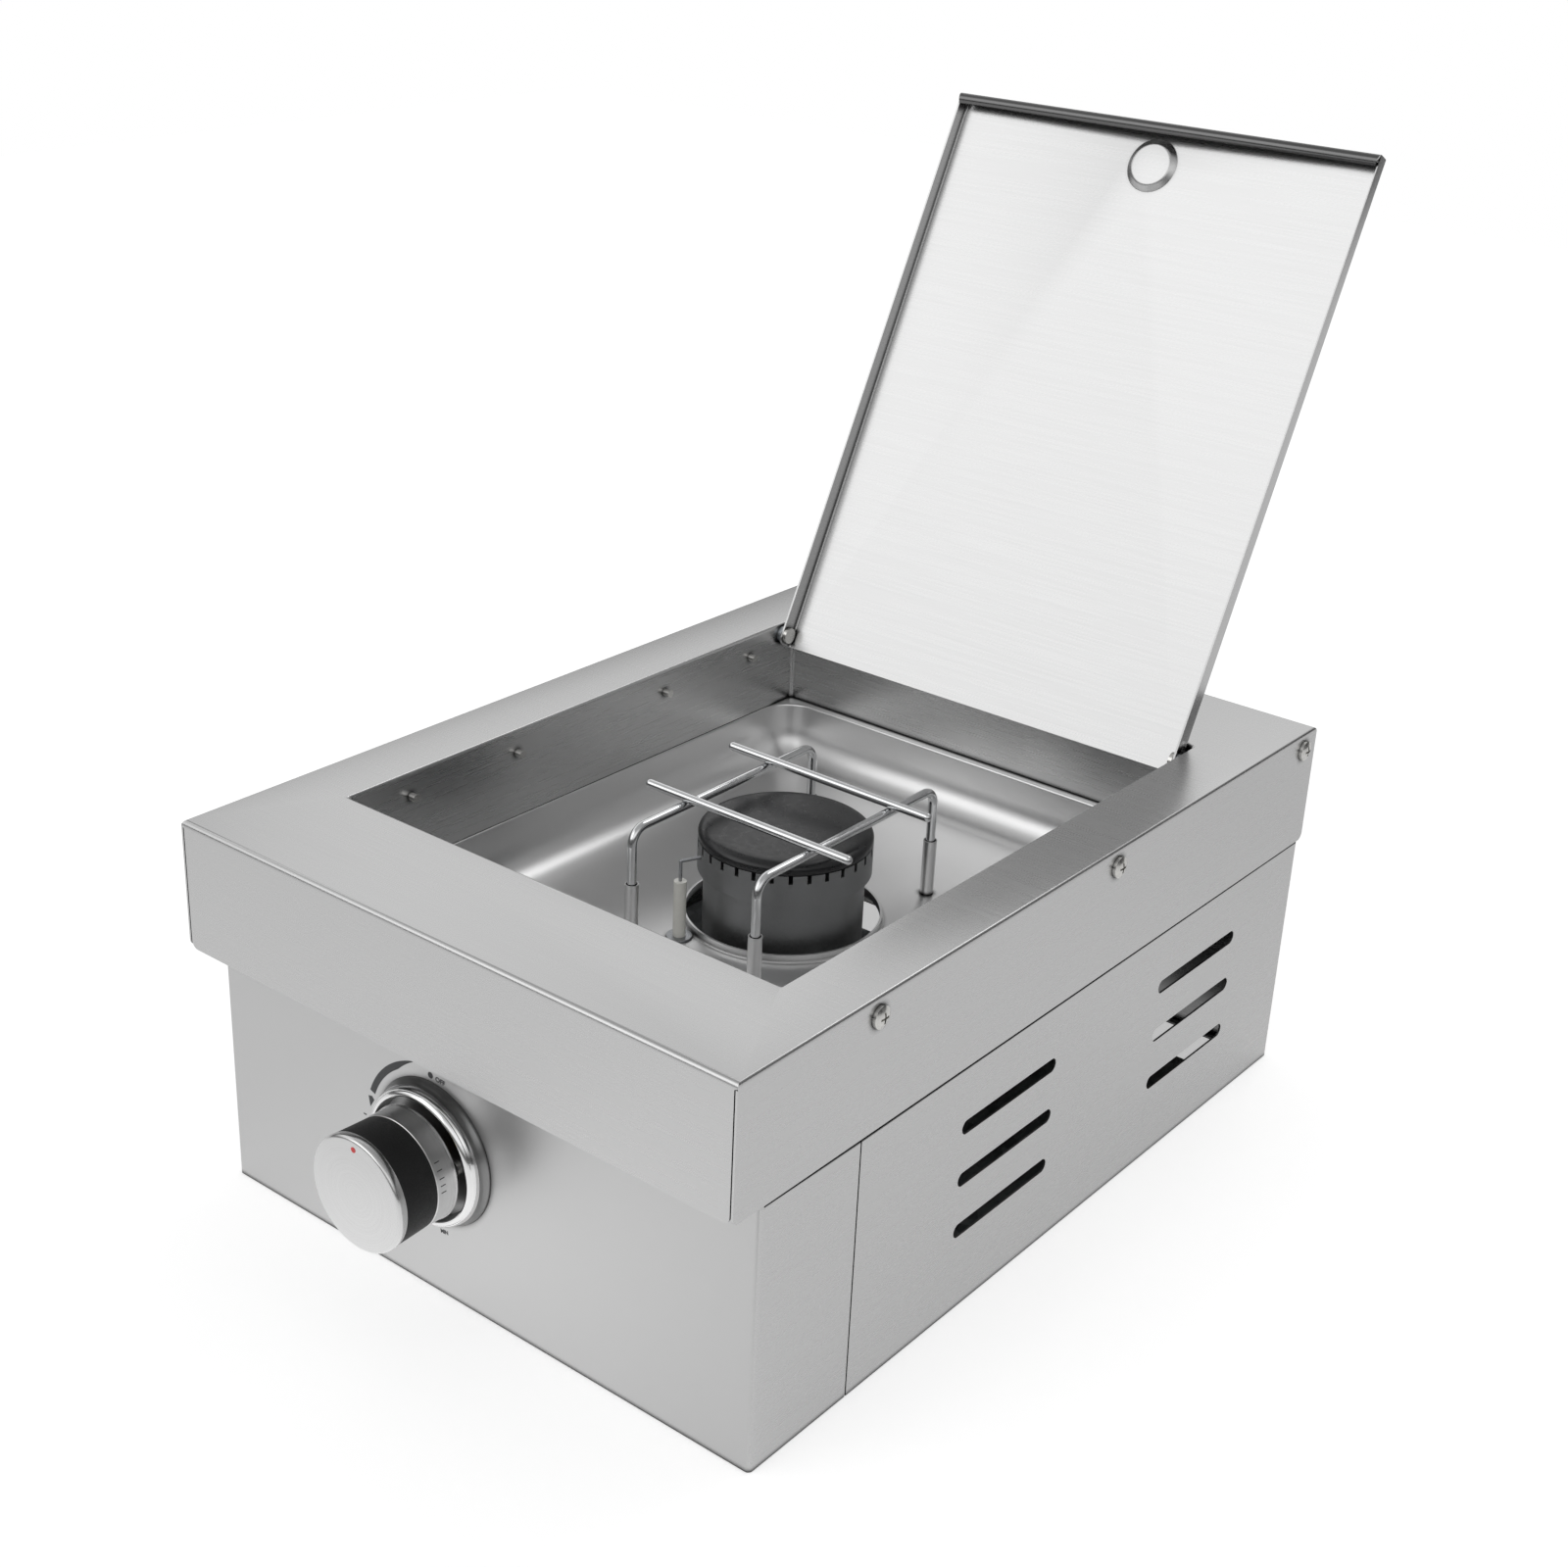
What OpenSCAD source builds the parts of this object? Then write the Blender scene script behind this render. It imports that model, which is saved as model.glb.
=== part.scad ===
// Portable gas stove: one covered burner in a casing of folded sheet metal.
// Millimetres, +Z up, the front towards -Y, the origin on the floor under the burner's centre.
// The lid is drawn open, leaning on the rear edge of the opening.

/* [Casing] */
// Overall width over the skirt
body_w = 310; // [290:1:340]
// Overall depth over the skirt
body_d = 444; // [430:1:480]
// Height of the top face
body_h = 187; // [180:1:200]
// Thickness of the folded sheet
sheet = 1; // [0.8:0.1:1.2]
// Depth of the skirt that hangs from the top
skirt_h = 61; // [45:1:70]
// Radius of the skirt's lower corners
skirt_corner_r = 3.5; // [2:0.5:6]
// Open seam where two skirts meet at a corner
skirt_seam = 0.6; // [0.3:0.1:1]
// Distance from the skirt's front back to the front panel
front_setback = 17.2; // [12:0.1:22]
// Length of the front panel's side returns
return_len = 61.5; // [55:0.5:66]
// Upright seam between a return and the side panel
panel_seam = 0.8; // [0.4:0.1:1.4]
// How far a lap strip reaches forward behind the return
lap_over = 16; // [10:1:24]
// How far a lap strip reaches past the front skirt screw
lap_tail = 8; // [6:0.5:12]
// Width of the flanges folded inwards
flange_w = 12; // [10:0.5:16]
// Width of the rear panel's bottom flange
rear_foot_w = 6; // [4:0.5:9]
// Gap along the rear of the base, which the hose can come up through
hose_gap = 28.8; // [15:0.1:40]
// Distance of the front base screws from the side of the casing
base_screw_in = 62; // [50:1:80]
// Distance of the first side screw of the base from the side panel's front edge
base_screw_first = 40; // [25:1:60]
// Distance of the last side screw of the base from its rear edge
base_screw_last = 15; // [10:1:40]

/* [Side vents] */
// Length of a vent slot
slot_l = 72; // [50:1:90]
// Width of a vent slot
slot_w = 7; // [4:0.5:10]
// Slots above each other in a group
slot_rows = 3; // [1:1:4]
// Distance between the slots of a group
slot_pitch = 26.2; // [15:0.1:28]
// Height of the middle of the groups
slot_mid_z = 67.9; // [60:0.1:75]
// Place of the front group, ahead of the burner's centre
front_slot_y = 34.5; // [30:0.5:60]
// Place of the rear group, behind the burner's centre
rear_slot_y = 126; // [90:0.5:140]

/* [Cooking well] */
// Width of the opening in the top
opening_w = 245; // [230:1:250]
// Depth of the opening in the top
opening_d = 314; // [300:1:330]
// Corner radius of the opening
opening_r = 2.5; // [1.5:0.5:5]
// Height of the walls folded down round the opening
well_wall_h = 45; // [40:1:50]
// Seam between those walls and the rim of the tray
tray_seam = 0.3; // [0.2:0.1:0.5]
// Depth of the drip tray
tray_depth = 29.7; // [24:0.1:34]
// Rounding inside the tray
tray_r = 17; // [10:1:20]
// How much narrower the tray is than the opening, at each side
tray_inset = 0.5; // [0.3:0.1:2]
// Ledge of rim that shows at the rear of the tray
tray_ledge = 5; // [2:0.5:8]
// Width of the rim at the tray's sides
rim_side = 15; // [12:0.5:18]
// Width of the rim at the tray's front and rear, measured from the opening
rim_end = 8; // [5:0.5:12]
// Thickness of the hangers that carry the tray
hanger_t = 2; // [1.5:0.1:3]
// Distance of a hanger's ends from the lid's hinge line
hanger_clear = 12.2; // [8:0.1:25]
// Height of a hanger
hanger_h = 38; // [37:0.5:42]
// Distance of the outer tray screws from the hangers' ends
tray_screw_inset = 25; // [10:1:50]

/* [Lid] */
// Gap between the lid and the opening at each side
lid_side_gap = 2.6; // [1.5:0.1:4]
// Gap between the lid and the opening at the front and rear
lid_end_gap = 4.2; // [3:0.1:6]
// Depth of the lid's folded lips
lid_lip = 10; // [9.5:0.1:12]
// Width of the hem folded back from the front lip
lid_hem = 4.5; // [4:0.5:12]
// Radius of the lips' rear lower corners
lip_corner_r = 4; // [2:0.5:5]
// Distance of the hinge line from the opening's rear edge
pivot_back = 9.8; // [8.5:0.1:12]
// Depth of the hinge line under the top face
pivot_down = 6; // [5:0.1:6.5]
// Clearance between the open lid and the edge that it leans on
lean_gap = 0.16; // [0.1:0.01:0.4]
// Radius of the hinge pins
pin_r = 2.5; // [2:0.1:3]
// Radius of the hinge pins' heads, and of the spacers
pin_head_r = 4.2; // [3.6:0.1:4.6]
// Thickness of the hinge pins' heads
pin_head_t = 2; // [1:0.1:3]
// Radius of the round finger dish
dish_r = 13.2; // [10:0.1:16]
// Width of the dish's sloping ring
dish_slope = 2.9; // [1:0.1:4]
// Depth of the dish
dish_depth = 2.4; // [0.5:0.1:3]
// Distance of the dish from the lid's front edge
dish_front = 20; // [17:0.5:30]
// Place of the inner lid rests, each side of the burner's centre
rest_near = 52.8; // [40:0.1:70]
// Distance of the outer lid rests from the hangers' ends
rest_inset = 14.5; // [8:0.1:30]
// How far a lid rest reaches into the well
rest_reach = 4; // [3.8:0.1:5]

/* [Control knob] */
// Sideways place of the knob
knob_x = -21.5; // [-30:0.5:-15]
// Distance of the knob's axis under the top face
knob_down = 116; // [113:0.5:119]
// Radius of the bezel at the panel
bezel_r = 34; // [32:0.5:38]
// Radius of the bezel's raised ring
bezel_ring_r = 31.8; // [31:0.1:32.5]
// Radius of the bezel's recess
bezel_recess_r = 28.6; // [27.5:0.1:29.5]
// Height of the bezel
bezel_h = 8.9; // [7:0.1:9.5]
// Height of the bezel's rounded crown
bezel_crown = 2.6; // [1.5:0.1:3.5]
// Thickness of the bezel's edge on the panel
bezel_edge = 1; // [0.5:0.1:2]
// Thickness of the bezel's floor
bezel_floor = 2.5; // [1.5:0.1:3]
// Largest radius of the knob
knob_r = 26.5; // [25:0.1:27]
// Radius of the metal ring at the knob's rear
knob_ring_r = 25.8; // [24:0.1:26.5]
// Distance of the metal ring's rear edge from the panel
knob_gap = 10.9; // [10.5:0.1:13]
// Length of the metal ring
knob_ring_l = 11.9; // [10:0.1:13]
// Length of the black grip
knob_grip_l = 17.6; // [14:0.1:20]
// Thickness of the metal cap
knob_cap_t = 2.9; // [2:0.1:4]
// Width of the cap's bevel
knob_bevel = 1.1; // [0.5:0.1:2]
// Wall of the knob's shells
knob_wall = 2.5; // [1.5:0.1:3.5]
// Radius of the hub
hub_r = 8; // [6:0.5:10]
// Distance of the hub's rear end from the ring's rear edge
hub_inset = 2.1; // [1:0.1:4]
// Thickness of the webs inside the ring and the grip
web_t = 2; // [1.5:0.1:3]
// Length of the cap's spigot in the grip
cap_spigot = 3; // [2:0.5:5]
// Radius of the red mark
mark_r = 1.3; // [0.8:0.1:2]
// Thickness of the red mark
mark_t = 0.6; // [0.5:0.1:1]
// Depth of the seat that it lies in
mark_seat = 0.5; // [0.3:0.1:0.8]
// Distance of the mark from the knob's centre
mark_at = 22; // [18:0.5:23]
// How far the knob is pushed in
push_travel = 3; // [2:0.5:4]

/* [Gas valve] */
// Radius of the valve stem
stem_r = 3; // [2.5:0.1:3.5]
// Width of the valve body
valve_w = 24; // [20:1:28]
// Length of the valve body
valve_l = 31; // [29:1:36]
// Thickness of the bonnet that the stem comes through
bonnet_t = 3; // [2:0.5:4]
// Thickness of the ears that take the valve screws
valve_ear_t = 6; // [4:0.5:8]
// How far the valve screws reach into the ears
valve_screw_in = 5; // [3:0.5:6]
// Radius of the plug that meters the gas
plug_r = 6; // [5:0.1:7]
// Length of the plug
plug_l = 16; // [12:0.5:17]
// Length of the spring behind the knob
spring_l = 6; // [5.5:0.5:7]
// Distance of the two valve screws from the stem
valve_screw_x = 15; // [14:0.5:17]
// How far the stem reaches into the plug
stem_in_plug = 8; // [6:0.5:9]
// How far the stem reaches into the hub
stem_in_hub = 13; // [10:0.5:16]
// Depth of the flats on the stem
flat_depth = 0.8; // [0.5:0.1:1.2]
// Distance of the inlet port from the valve body's front
port_at = 12; // [10:0.5:14]
// Radius of the gas port across the plug
port_r = 1.2; // [0.8:0.1:1.5]
// Length of the inlet port at the valve's side
port_l = 8; // [6:0.5:12]
// Radius of the gas pipe
pipe_r = 4; // [3:0.5:5]
// Distance of the pipe's long run and of the gas inlet from the side of the casing
inlet_side = 55; // [40:1:65]
// Length of the jet in front of the valve
jet_l = 14; // [10:0.5:16]
// Height of the jet's hexagon
jet_hex = 4; // [3:0.5:5]
// Length of the jet's thread in the valve
jet_thread = 2.8; // [2:0.1:3]
// Length of the jet's narrow bore
jet_tip = 4; // [2:0.5:5]
// Bend radius of the pipe
pipe_bend = 16; // [12:1:20]
// Wall of the pipe
pipe_wall = 1; // [0.8:0.1:1.5]
// Radius of the inlet's thread
thread_r = 6; // [5.5:0.1:8]
// Length of the inlet's shoulder inside the rear panel
fitting_l = 7; // [4:0.5:10]
// Height of the inlet's nut
inlet_nut_h = 4; // [3:0.5:4.5]
// Length of thread outside the rear panel
thread_out = 5; // [5:0.5:8]
// Radius of the hose tail
tail_r = 4.5; // [4:0.1:5.5]
// Length of the hose tail
tail_l = 20; // [15:1:30]

/* [Burner] */
// Height of the cap's top above the tray floor
burner_rise = 47; // [42:0.5:47]
// Radius of the burner head
head_r = 41; // [38:0.5:42]
// Height of the burner head
head_h = 15; // [12:0.5:18]
// Number of flame ports
ports = 30; // [16:2:40]
// Width of a flame port
port_w = 2; // [1:0.1:3]
// Height of a flame port
port_h = 4; // [2:0.5:6]
// Thickness of the burner cap
cap_t = 6; // [4:0.5:8]
// Radius of the bowl
bowl_r = 38; // [34:0.5:39]
// Height of the bowl
bowl_h = 46; // [40:1:48]
// Wall of the castings
cast_wall = 3; // [2.5:0.1:4]
// Outer radius of the mixing tube
mix_r = 11; // [9:0.5:13]
// Wall of the mixing tube
mix_wall = 2; // [1.5:0.1:3]
// Distance of the mixing tube's mouth from the valve
mouth_at = 12; // [8:0.5:16]
// Length of the flared mouth
mouth_l = 8; // [5:0.5:12]
// Flare of the mixing tube's mouth
mouth_flare = 3; // [1:0.5:5]
// Distance of the air shutter from the flared mouth
shutter_at = 4; // [2:0.5:8]
// Length of the air shutter
shutter_l = 14; // [10:0.5:18]
// Wall of the air shutter
shutter_wall = 1.5; // [1:0.1:2]
// Distance of the air windows from the shutter's ends
window_edge = 3; // [2:0.5:4]
// Gap round the bowl in the tray
burner_gap = 8; // [4:0.5:9]
// Height of the collar round that hole
collar_h = 4; // [2:0.5:8]
// Thickness of the burner bracket
bracket_t = 2; // [1.5:0.1:3]
// Half the span of the bracket
bracket_half = 62; // [60:1:70]
// Width of the bracket's feet
bracket_foot = 16; // [10:1:20]
// Depth of the bracket
bracket_d = 32; // [28:1:40]

/* [Pan support] */
// Sideways place of the legs
leg_x = 36.5; // [34:0.5:40]
// Place of the legs ahead of and behind the burner
leg_y = 66; // [58:0.5:75]
// Radius of the wire
wire_r = 2.2; // [1.5:0.1:2.3]
// Height of the support's top above the tray floor
support_rise = 62; // [60:0.5:66]
// Bend radius of the wire
wire_bend = 8; // [6:0.5:12]
// Half the length of the cross bars
bar_half = 60; // [45:1:64]
// Place of the cross bars ahead of and behind the burner
bar_y = 30; // [20:0.5:45]
// Outer radius of the sockets
socket_r = 3.25; // [3.1:0.05:4]
// Bore radius of the sockets
socket_bore_r = 2.65; // [2.6:0.05:3]
// Height of the sockets
socket_h = 28.4; // [20:0.1:34]

/* [Fasteners] */
// Distance of the front skirt screw from the skirt's front
skirt_screw_front = 84.2; // [84:0.1:90]
// Distance of the rear skirt screw from the skirt's rear
skirt_screw_rear = 12.6; // [11:0.1:20]
// Depth of the skirt screws under the top face
skirt_screw_down = 8.7; // [8:0.1:12]
// Radius of the skirt screws
big_screw_r = 2.5; // [2:0.1:3]
// Radius of the skirt screws' heads
big_head_r = 4.9; // [4.2:0.1:5.5]
// Height of the skirt screws' heads
big_head_h = 3; // [2:0.1:3.5]
// Radius of the smaller screws
screw_r = 2; // [1.6:0.1:2.2]
// Radius of the smaller screws' heads
head_small_r = 3.8; // [3.4:0.1:4]
// Height of the smaller screws' heads
head_small_h = 2.2; // [1.6:0.1:2.5]
// Width across the flats of the skirt screws' nuts
big_nut_w = 8; // [7:0.5:9]
// Width across the flats of the smaller nuts
nut_w = 7; // [6:0.5:8]
// Height of the nuts
nut_h = 3.2; // [2.4:0.1:4]
// Distance of the lower rear screws from the floor
rear_screw_low = 25; // [15:1:40]
// Distance of the upper rear screws from the floor
rear_screw_high = 108; // [90:1:115]

/* [Ignition] */
// Distance of the electrode from the burner's centre
electrode_at = 54; // [52:0.5:58]
// Radius of the electrode's insulator
insulator_r = 3; // [2.5:0.1:3.5]
// Radius of the electrode's wire
electrode_r = 0.8; // [0.5:0.1:1]
// Radius of the ignition lead
lead_r = 1.5; // [1:0.1:2]
// Bend radius of the ignition lead
lead_bend = 8; // [6:0.5:10]
// Width of the piezo igniter
piezo_w = 18; // [14:1:22]
// Length of the piezo igniter
piezo_l = 30; // [26:1:34]
// Height of the piezo igniter
piezo_h = 18; // [15:1:20]
// Distance of the piezo igniter's front from the valve body's
piezo_back = 1; // [0.5:0.5:3]
// Length of the stub where the lead goes in
lead_stub = 4; // [3:0.5:6]
// Height of the insulator's and the clip's flanges
flange_step = 3; // [2:0.5:4]
// Distance of the insulator's top from the burner head's top
insulator_down = 12; // [8:0.5:16]
// Distance of the spark from the burner head's top
spark_down = 2; // [1:0.5:3]
// Gap between the spark wire's tip and the burner head
spark_gap = 3; // [2:0.5:5]

/* [Hidden] */
$fn = 64;

// Small extra length that lets a cut pass through a face
over = 0.5;
// Radial clearance of a screw in its hole
screw_gap = 0.2;
// Radial clearance of a thread in its nut
thread_gap = 0.02;
// Radial clearance of a turning or sliding fit
run_gap = 0.05;
// Side clearance of a piece that turns against another
side_gap = 0.15;
// Clearance between fixed sheets that don't touch
sheet_gap = 0.2;
// Clearance under what rests by its own weight
rest_gap = 0.1;
// Clearance at the ends of what turns in the valve
end_gap = 0.3;
// Clearance round the stem's collar in the valve
collar_gap = 0.5;
// Clearance round the mixing tube in the bracket
bracket_gap = 1.5;
// Distance of a small screw's head from an edge or a wall
head_edge = 2;
// Distance of a valve screw's head from the end of its ear
ear_edge = 1;
// Wall between the gas port and the end of the plug
port_edge = 1;
// Wall of the inlet port round the pipe
port_wall = 1.5;
// Thickness of the stem's collar
collar_t = 2;
// Wall of the igniter's stub round the lead
stub_wall = 2;
// Width of the shoulders on the insulator and the inlet
shoulder_w = 2.5;
// Thickness of the insulator's clip
clip_t = 1;
// Part of a screw head's height that is domed
dome_part = 0.45;
// Length of thread that shows behind a nut
thread_tail = 1.5;

half_w = body_w / 2;
half_d = body_d / 2;
knob_z = body_h - knob_down;
skirt_z = body_h - skirt_h;
panel_x = half_w - sheet;
front_y = sheet_front_y();
rear_y = half_d - sheet;
return_end = front_y + return_len;
side_front_y = return_end + panel_seam;
under_top = body_h - sheet;
base_front = front_y + sheet + sheet_gap;
base_rear = rear_y - sheet - rear_foot_w - hose_gap;

well_x = opening_w / 2;
well_y = opening_d / 2;
well_wall_z = body_h - well_wall_h;
tray_top = well_wall_z - tray_seam;
tray_floor = tray_top - tray_depth;
tray_w = opening_w - 2 * tray_inset;
tray_front = -well_y + tray_inset;
tray_rear = well_y - tray_ledge;
tray_d = tray_rear - tray_front;
tray_mid = (tray_rear + tray_front) / 2;
rim_x = tray_w / 2 + sheet + rim_side;
rim_y = well_y + rim_end;
hanger_x = well_x + sheet;
hanger_y = well_y - pivot_back - hanger_clear;
tray_screw_y = hanger_y - tray_screw_inset;
tray_screw_x = rim_x - head_small_r - head_edge;

lid_w = opening_w - 2 * lid_side_gap;
lid_front = -well_y + lid_end_gap;
lid_rear = well_y - lid_end_gap;
lip_z = body_h - lid_lip;
pivot_y = well_y - pivot_back;
pivot_z = body_h - pivot_down;
lid_open = 180 - 2 * atan(pivot_down / (pivot_back - lean_gap));
rest_z = lip_z - screw_r - rest_gap;
lid_rest_ys = [rest_inset - hanger_y, -rest_near, rest_near, hanger_y - rest_inset];

lap_front = return_end - lap_over;
skirt_screw_first = -half_d + skirt_screw_front;
skirt_screw_last = half_d - skirt_screw_rear;
skirt_screw_ys = [skirt_screw_first, (skirt_screw_first + skirt_screw_last) / 2, skirt_screw_last];
skirt_screw_z = body_h - skirt_screw_down;
lap_rear = skirt_screw_first + lap_tail;
flange_mid = (flange_w + sheet) / 2;
base_screw_x = panel_x - flange_mid;
base_screw_y1 = side_front_y + base_screw_first;
base_screw_y3 = base_rear - base_screw_last;
base_screw_ys = [base_screw_y1, (base_screw_y1 + base_screw_y3) / 2, base_screw_y3];
base_points = [
    for (s = [-1, 1]) each [
        for (y = base_screw_ys) [s * base_screw_x, y],
        [s * (half_w - base_screw_in), front_y + flange_mid],
    ],
];
rear_screw_x = panel_x - flange_mid;

cap_top = tray_floor + burner_rise;
head_top = cap_top - cap_t;
bowl_top = head_top - head_h;
bowl_z = bowl_top - bowl_h;
burner_hole_r = bowl_r + burner_gap;
bracket_hole_r = mix_r + bracket_gap;
lug_x = bowl_r + head_small_r + head_edge;
valve_y = front_y + sheet;
body_y = valve_y + bonnet_t;
valve_rear = body_y + valve_l - bonnet_t;
mouth_y = valve_rear + mouth_at;
throat_y = mouth_y + mouth_l;
shutter_y = throat_y + shutter_at;
window_y = shutter_y + window_edge;

collar_r = plug_r - collar_gap;
collar_y = body_y + end_gap;
spring_y = collar_y + collar_t;
plug_y = spring_y + spring_l;
stem_tail = plug_y + stem_in_plug;
hub_back = knob_gap + hub_inset;
grip_back = knob_gap + knob_ring_l;
grip_front = grip_back + knob_grip_l;
knob_face = grip_front + knob_cap_t;
stem_end = hub_back + stem_in_hub;

pipe_x = half_w - inlet_side;
pipe_y = body_y + port_at;
fitting_y = rear_y - 2 * sheet - fitting_l;

piezo_y = body_y + piezo_back;
lead_z = knob_z + valve_w / 2 + piezo_h / 2;
lead_y = piezo_y + piezo_l;
electrode_y = -sqrt(electrode_at * electrode_at - knob_x * knob_x);
insulator_z = lead_z + lead_bend;
insulator_top = head_top - insulator_down;
spark_z = head_top - spark_down;

wire_z = tray_floor + support_rise - 3 * wire_r - weld_gap();

function sheet_front_y() = -body_d / 2 + front_setback;
function weld_gap() = 0.02;

// Rectangle with rounded corners, centred on the origin
module rounded_rect(w, d, r) {
    square([w - 2 * r, d], center = true);
    square([w, d - 2 * r], center = true);
    for (sx = [-1, 1], sy = [-1, 1])
        translate([sx * (w / 2 - r), sy * (d / 2 - r)]) circle(r);
}

// Upright sheet: an outline drawn in Y and Z, from x0 towards +X
module across_x(x0, t) {
    translate([x0, 0, 0]) rotate([90, 0, 90]) linear_extrude(t) children();
}

// Upright sheet: an outline drawn in X and Z, from y0 towards +Y
module across_y(y0, t) {
    translate([0, y0 + t, 0]) rotate([90, 0, 0]) linear_extrude(t) children();
}

// Block between two corners
module block(low, high) {
    translate(low) cube(high - low);
}

// Round bar along +X or +Y
module bar_x(l, r) {
    rotate([0, 90, 0]) cylinder(h = l, r = r);
}
module bar_y(l, r) {
    rotate([-90, 0, 0]) cylinder(h = l, r = r);
}

// A piece on the right-hand side and its mirror image on the left
module both_sides() {
    children();
    mirror([1, 0, 0]) children();
}

// Places the children at the knob, with z measured out from the front panel's face
module at_knob() {
    translate([knob_x, front_y, knob_z]) rotate([90, 0, 0]) children();
}

// Turns a piece drawn on the closed lid to where the lid stands open
module as_open() {
    translate([0, pivot_y, pivot_z]) rotate([-lid_open, 0, 0])
        translate([0, -pivot_y, -pivot_z]) children();
}

// Screw with a domed head on z = 0 and its shank below, with a cross recess
module pan_screw(r, l, head_radius, head_height) {
    dome = head_height * dome_part;
    ball = (head_radius * head_radius + dome * dome) / (2 * dome);
    recess = head_radius * 0.5;
    translate([0, 0, -l]) cylinder(h = l, r = r);
    difference() {
        intersection() {
            cylinder(h = head_height, r = head_radius);
            translate([0, 0, head_height - ball]) sphere(ball);
        }
        for (a = [0, 90]) rotate(a)
            translate([-recess, -recess / 5, head_height / 2])
                cube([2 * recess, recess * 0.4, head_height]);
    }
}

// Hexagonal nut on z = 0, for a screw of radius r
module nut(w, r) {
    difference() {
        cylinder(h = nut_h, d = w / cos(30), $fn = 6);
        translate([0, 0, -over]) cylinder(h = nut_h + 2 * over, r = r + thread_gap);
    }
}

// Tub with rounded upright corners and a rounded bottom edge, from z = 0 up
module tub(w, d, h, r) {
    x = w / 2 - r;
    y = d / 2 - r;
    intersection() {
        union() {
            translate([0, 0, r]) linear_extrude(h) rounded_rect(w, d, r);
            translate([-x, -y, 0]) cube([2 * x, 2 * y, r]);
            for (s = [-1, 1]) {
                translate([-x, s * y, r]) bar_x(2 * x, r);
                translate([s * x, -y, r]) bar_y(2 * y, r);
                for (t = [-1, 1]) translate([s * x, t * y, r]) sphere(r);
            }
        }
        translate([-w, -d, 0]) cube([2 * w, 2 * d, h]);
    }
}

// Outline of a skirt of a given length, with rounded lower corners
module skirt_outline(l) {
    r = skirt_corner_r;
    translate([-l / 2, skirt_z + r]) square([l, skirt_h - r]);
    translate([-l / 2 + r, skirt_z]) square([l - 2 * r, 2 * r]);
    for (s = [-1, 1]) translate([s * (l / 2 - r), skirt_z + r]) circle(r);
}

// Top sheet with its skirt folded down outside and the well's walls folded down inside
module top_frame() {
    color("silver") difference() {
        union() {
            translate([0, 0, under_top]) linear_extrude(sheet) difference() {
                square([body_w, body_d], center = true);
                rounded_rect(opening_w, opening_d, opening_r);
            }
            both_sides() across_x(panel_x, sheet) skirt_outline(body_d);
            for (y = [-half_d, rear_y])
                across_y(y, sheet) skirt_outline(2 * (panel_x - skirt_seam));
            translate([0, 0, well_wall_z]) linear_extrude(well_wall_h - sheet / 2) difference() {
                rounded_rect(opening_w + 2 * sheet, opening_d + 2 * sheet, opening_r + sheet);
                rounded_rect(opening_w, opening_d, opening_r);
            }
        }
        skirt_screw_holes();
        lid_rest_holes();
        both_sides() translate([well_x - over, pivot_y, pivot_z])
            bar_x(sheet + 2 * over, pin_r + run_gap);
    }
}

// Cuts for the skirt screws, through the skirt and the panel behind it
module skirt_screw_holes() {
    both_sides() for (y = skirt_screw_ys)
        translate([panel_x - 2 * sheet - over, y, skirt_screw_z])
            bar_x(3 * sheet + 2 * over, big_screw_r + screw_gap);
}

// Cuts for the lid rests, through the well's wall and the hanger
module lid_rest_holes() {
    both_sides() for (y = lid_rest_ys)
        translate([well_x - over, y, rest_z])
            bar_x(sheet + hanger_t + 2 * over, screw_r + thread_gap);
}

// Cuts for the base screws, through the flanges on the base
module base_screw_holes() {
    for (p = base_points) translate([p.x, p.y, sheet / 2])
        cylinder(h = 2 * sheet, r = screw_r + screw_gap);
}

// Front panel with its side returns, lap strips and top and bottom flanges
module front_panel() {
    flange_x = panel_x - sheet;
    color("gainsboro") difference() {
        union() {
            across_y(front_y, sheet) translate([-panel_x, 0]) square([2 * panel_x, under_top]);
            both_sides() {
                across_x(flange_x, sheet) translate([front_y, 0]) square([return_len, under_top]);
                block([flange_x - sheet, lap_front, 4 * sheet], [flange_x, lap_rear, under_top - 2 * sheet]);
            }
            for (z = [sheet, under_top - sheet])
                block([-flange_x, front_y, z], [flange_x, front_y + flange_w, z + sheet]);
        }
        skirt_screw_holes();
        base_screw_holes();
        at_knob() translate([0, 0, -sheet - over]) cylinder(h = sheet + 2 * over, r = hub_r);
        valve_screw_holes();
    }
}

// Cuts for the valve screws, through the bezel, the panel and the bonnet
module valve_screw_holes() {
    at_knob() for (s = [-1, 1]) translate([s * valve_screw_x, 0, -sheet - bonnet_t - over])
        cylinder(h = bezel_floor + sheet + bonnet_t + 2 * over, r = screw_r + screw_gap);
}

// Slot with round ends, along the outline's first axis
module slot_outline() {
    square([slot_l - slot_w, slot_w], center = true);
    for (s = [-1, 1]) translate([s * (slot_l - slot_w) / 2, 0]) circle(slot_w / 2);
}

// Right-hand side panel with its vent slots, bottom flange and rear flange
module side_panel() {
    inner_x = panel_x - sheet;
    difference() {
        union() {
            across_x(inner_x, sheet) difference() {
                translate([side_front_y, 0]) square([rear_y - side_front_y, under_top]);
                for (y = [-front_slot_y, rear_slot_y], i = [0:slot_rows - 1])
                    translate([y, slot_mid_z + (i - (slot_rows - 1) / 2) * slot_pitch]) slot_outline();
            }
            block([panel_x - flange_w, side_front_y + 2 * sheet, sheet],
                [inner_x, rear_y - 3 * sheet, 2 * sheet]);
            block([panel_x - flange_w, rear_y - sheet, 0], [inner_x, rear_y, under_top]);
        }
        skirt_screw_holes();
        base_screw_holes();
        rear_screw_holes();
    }
}

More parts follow.
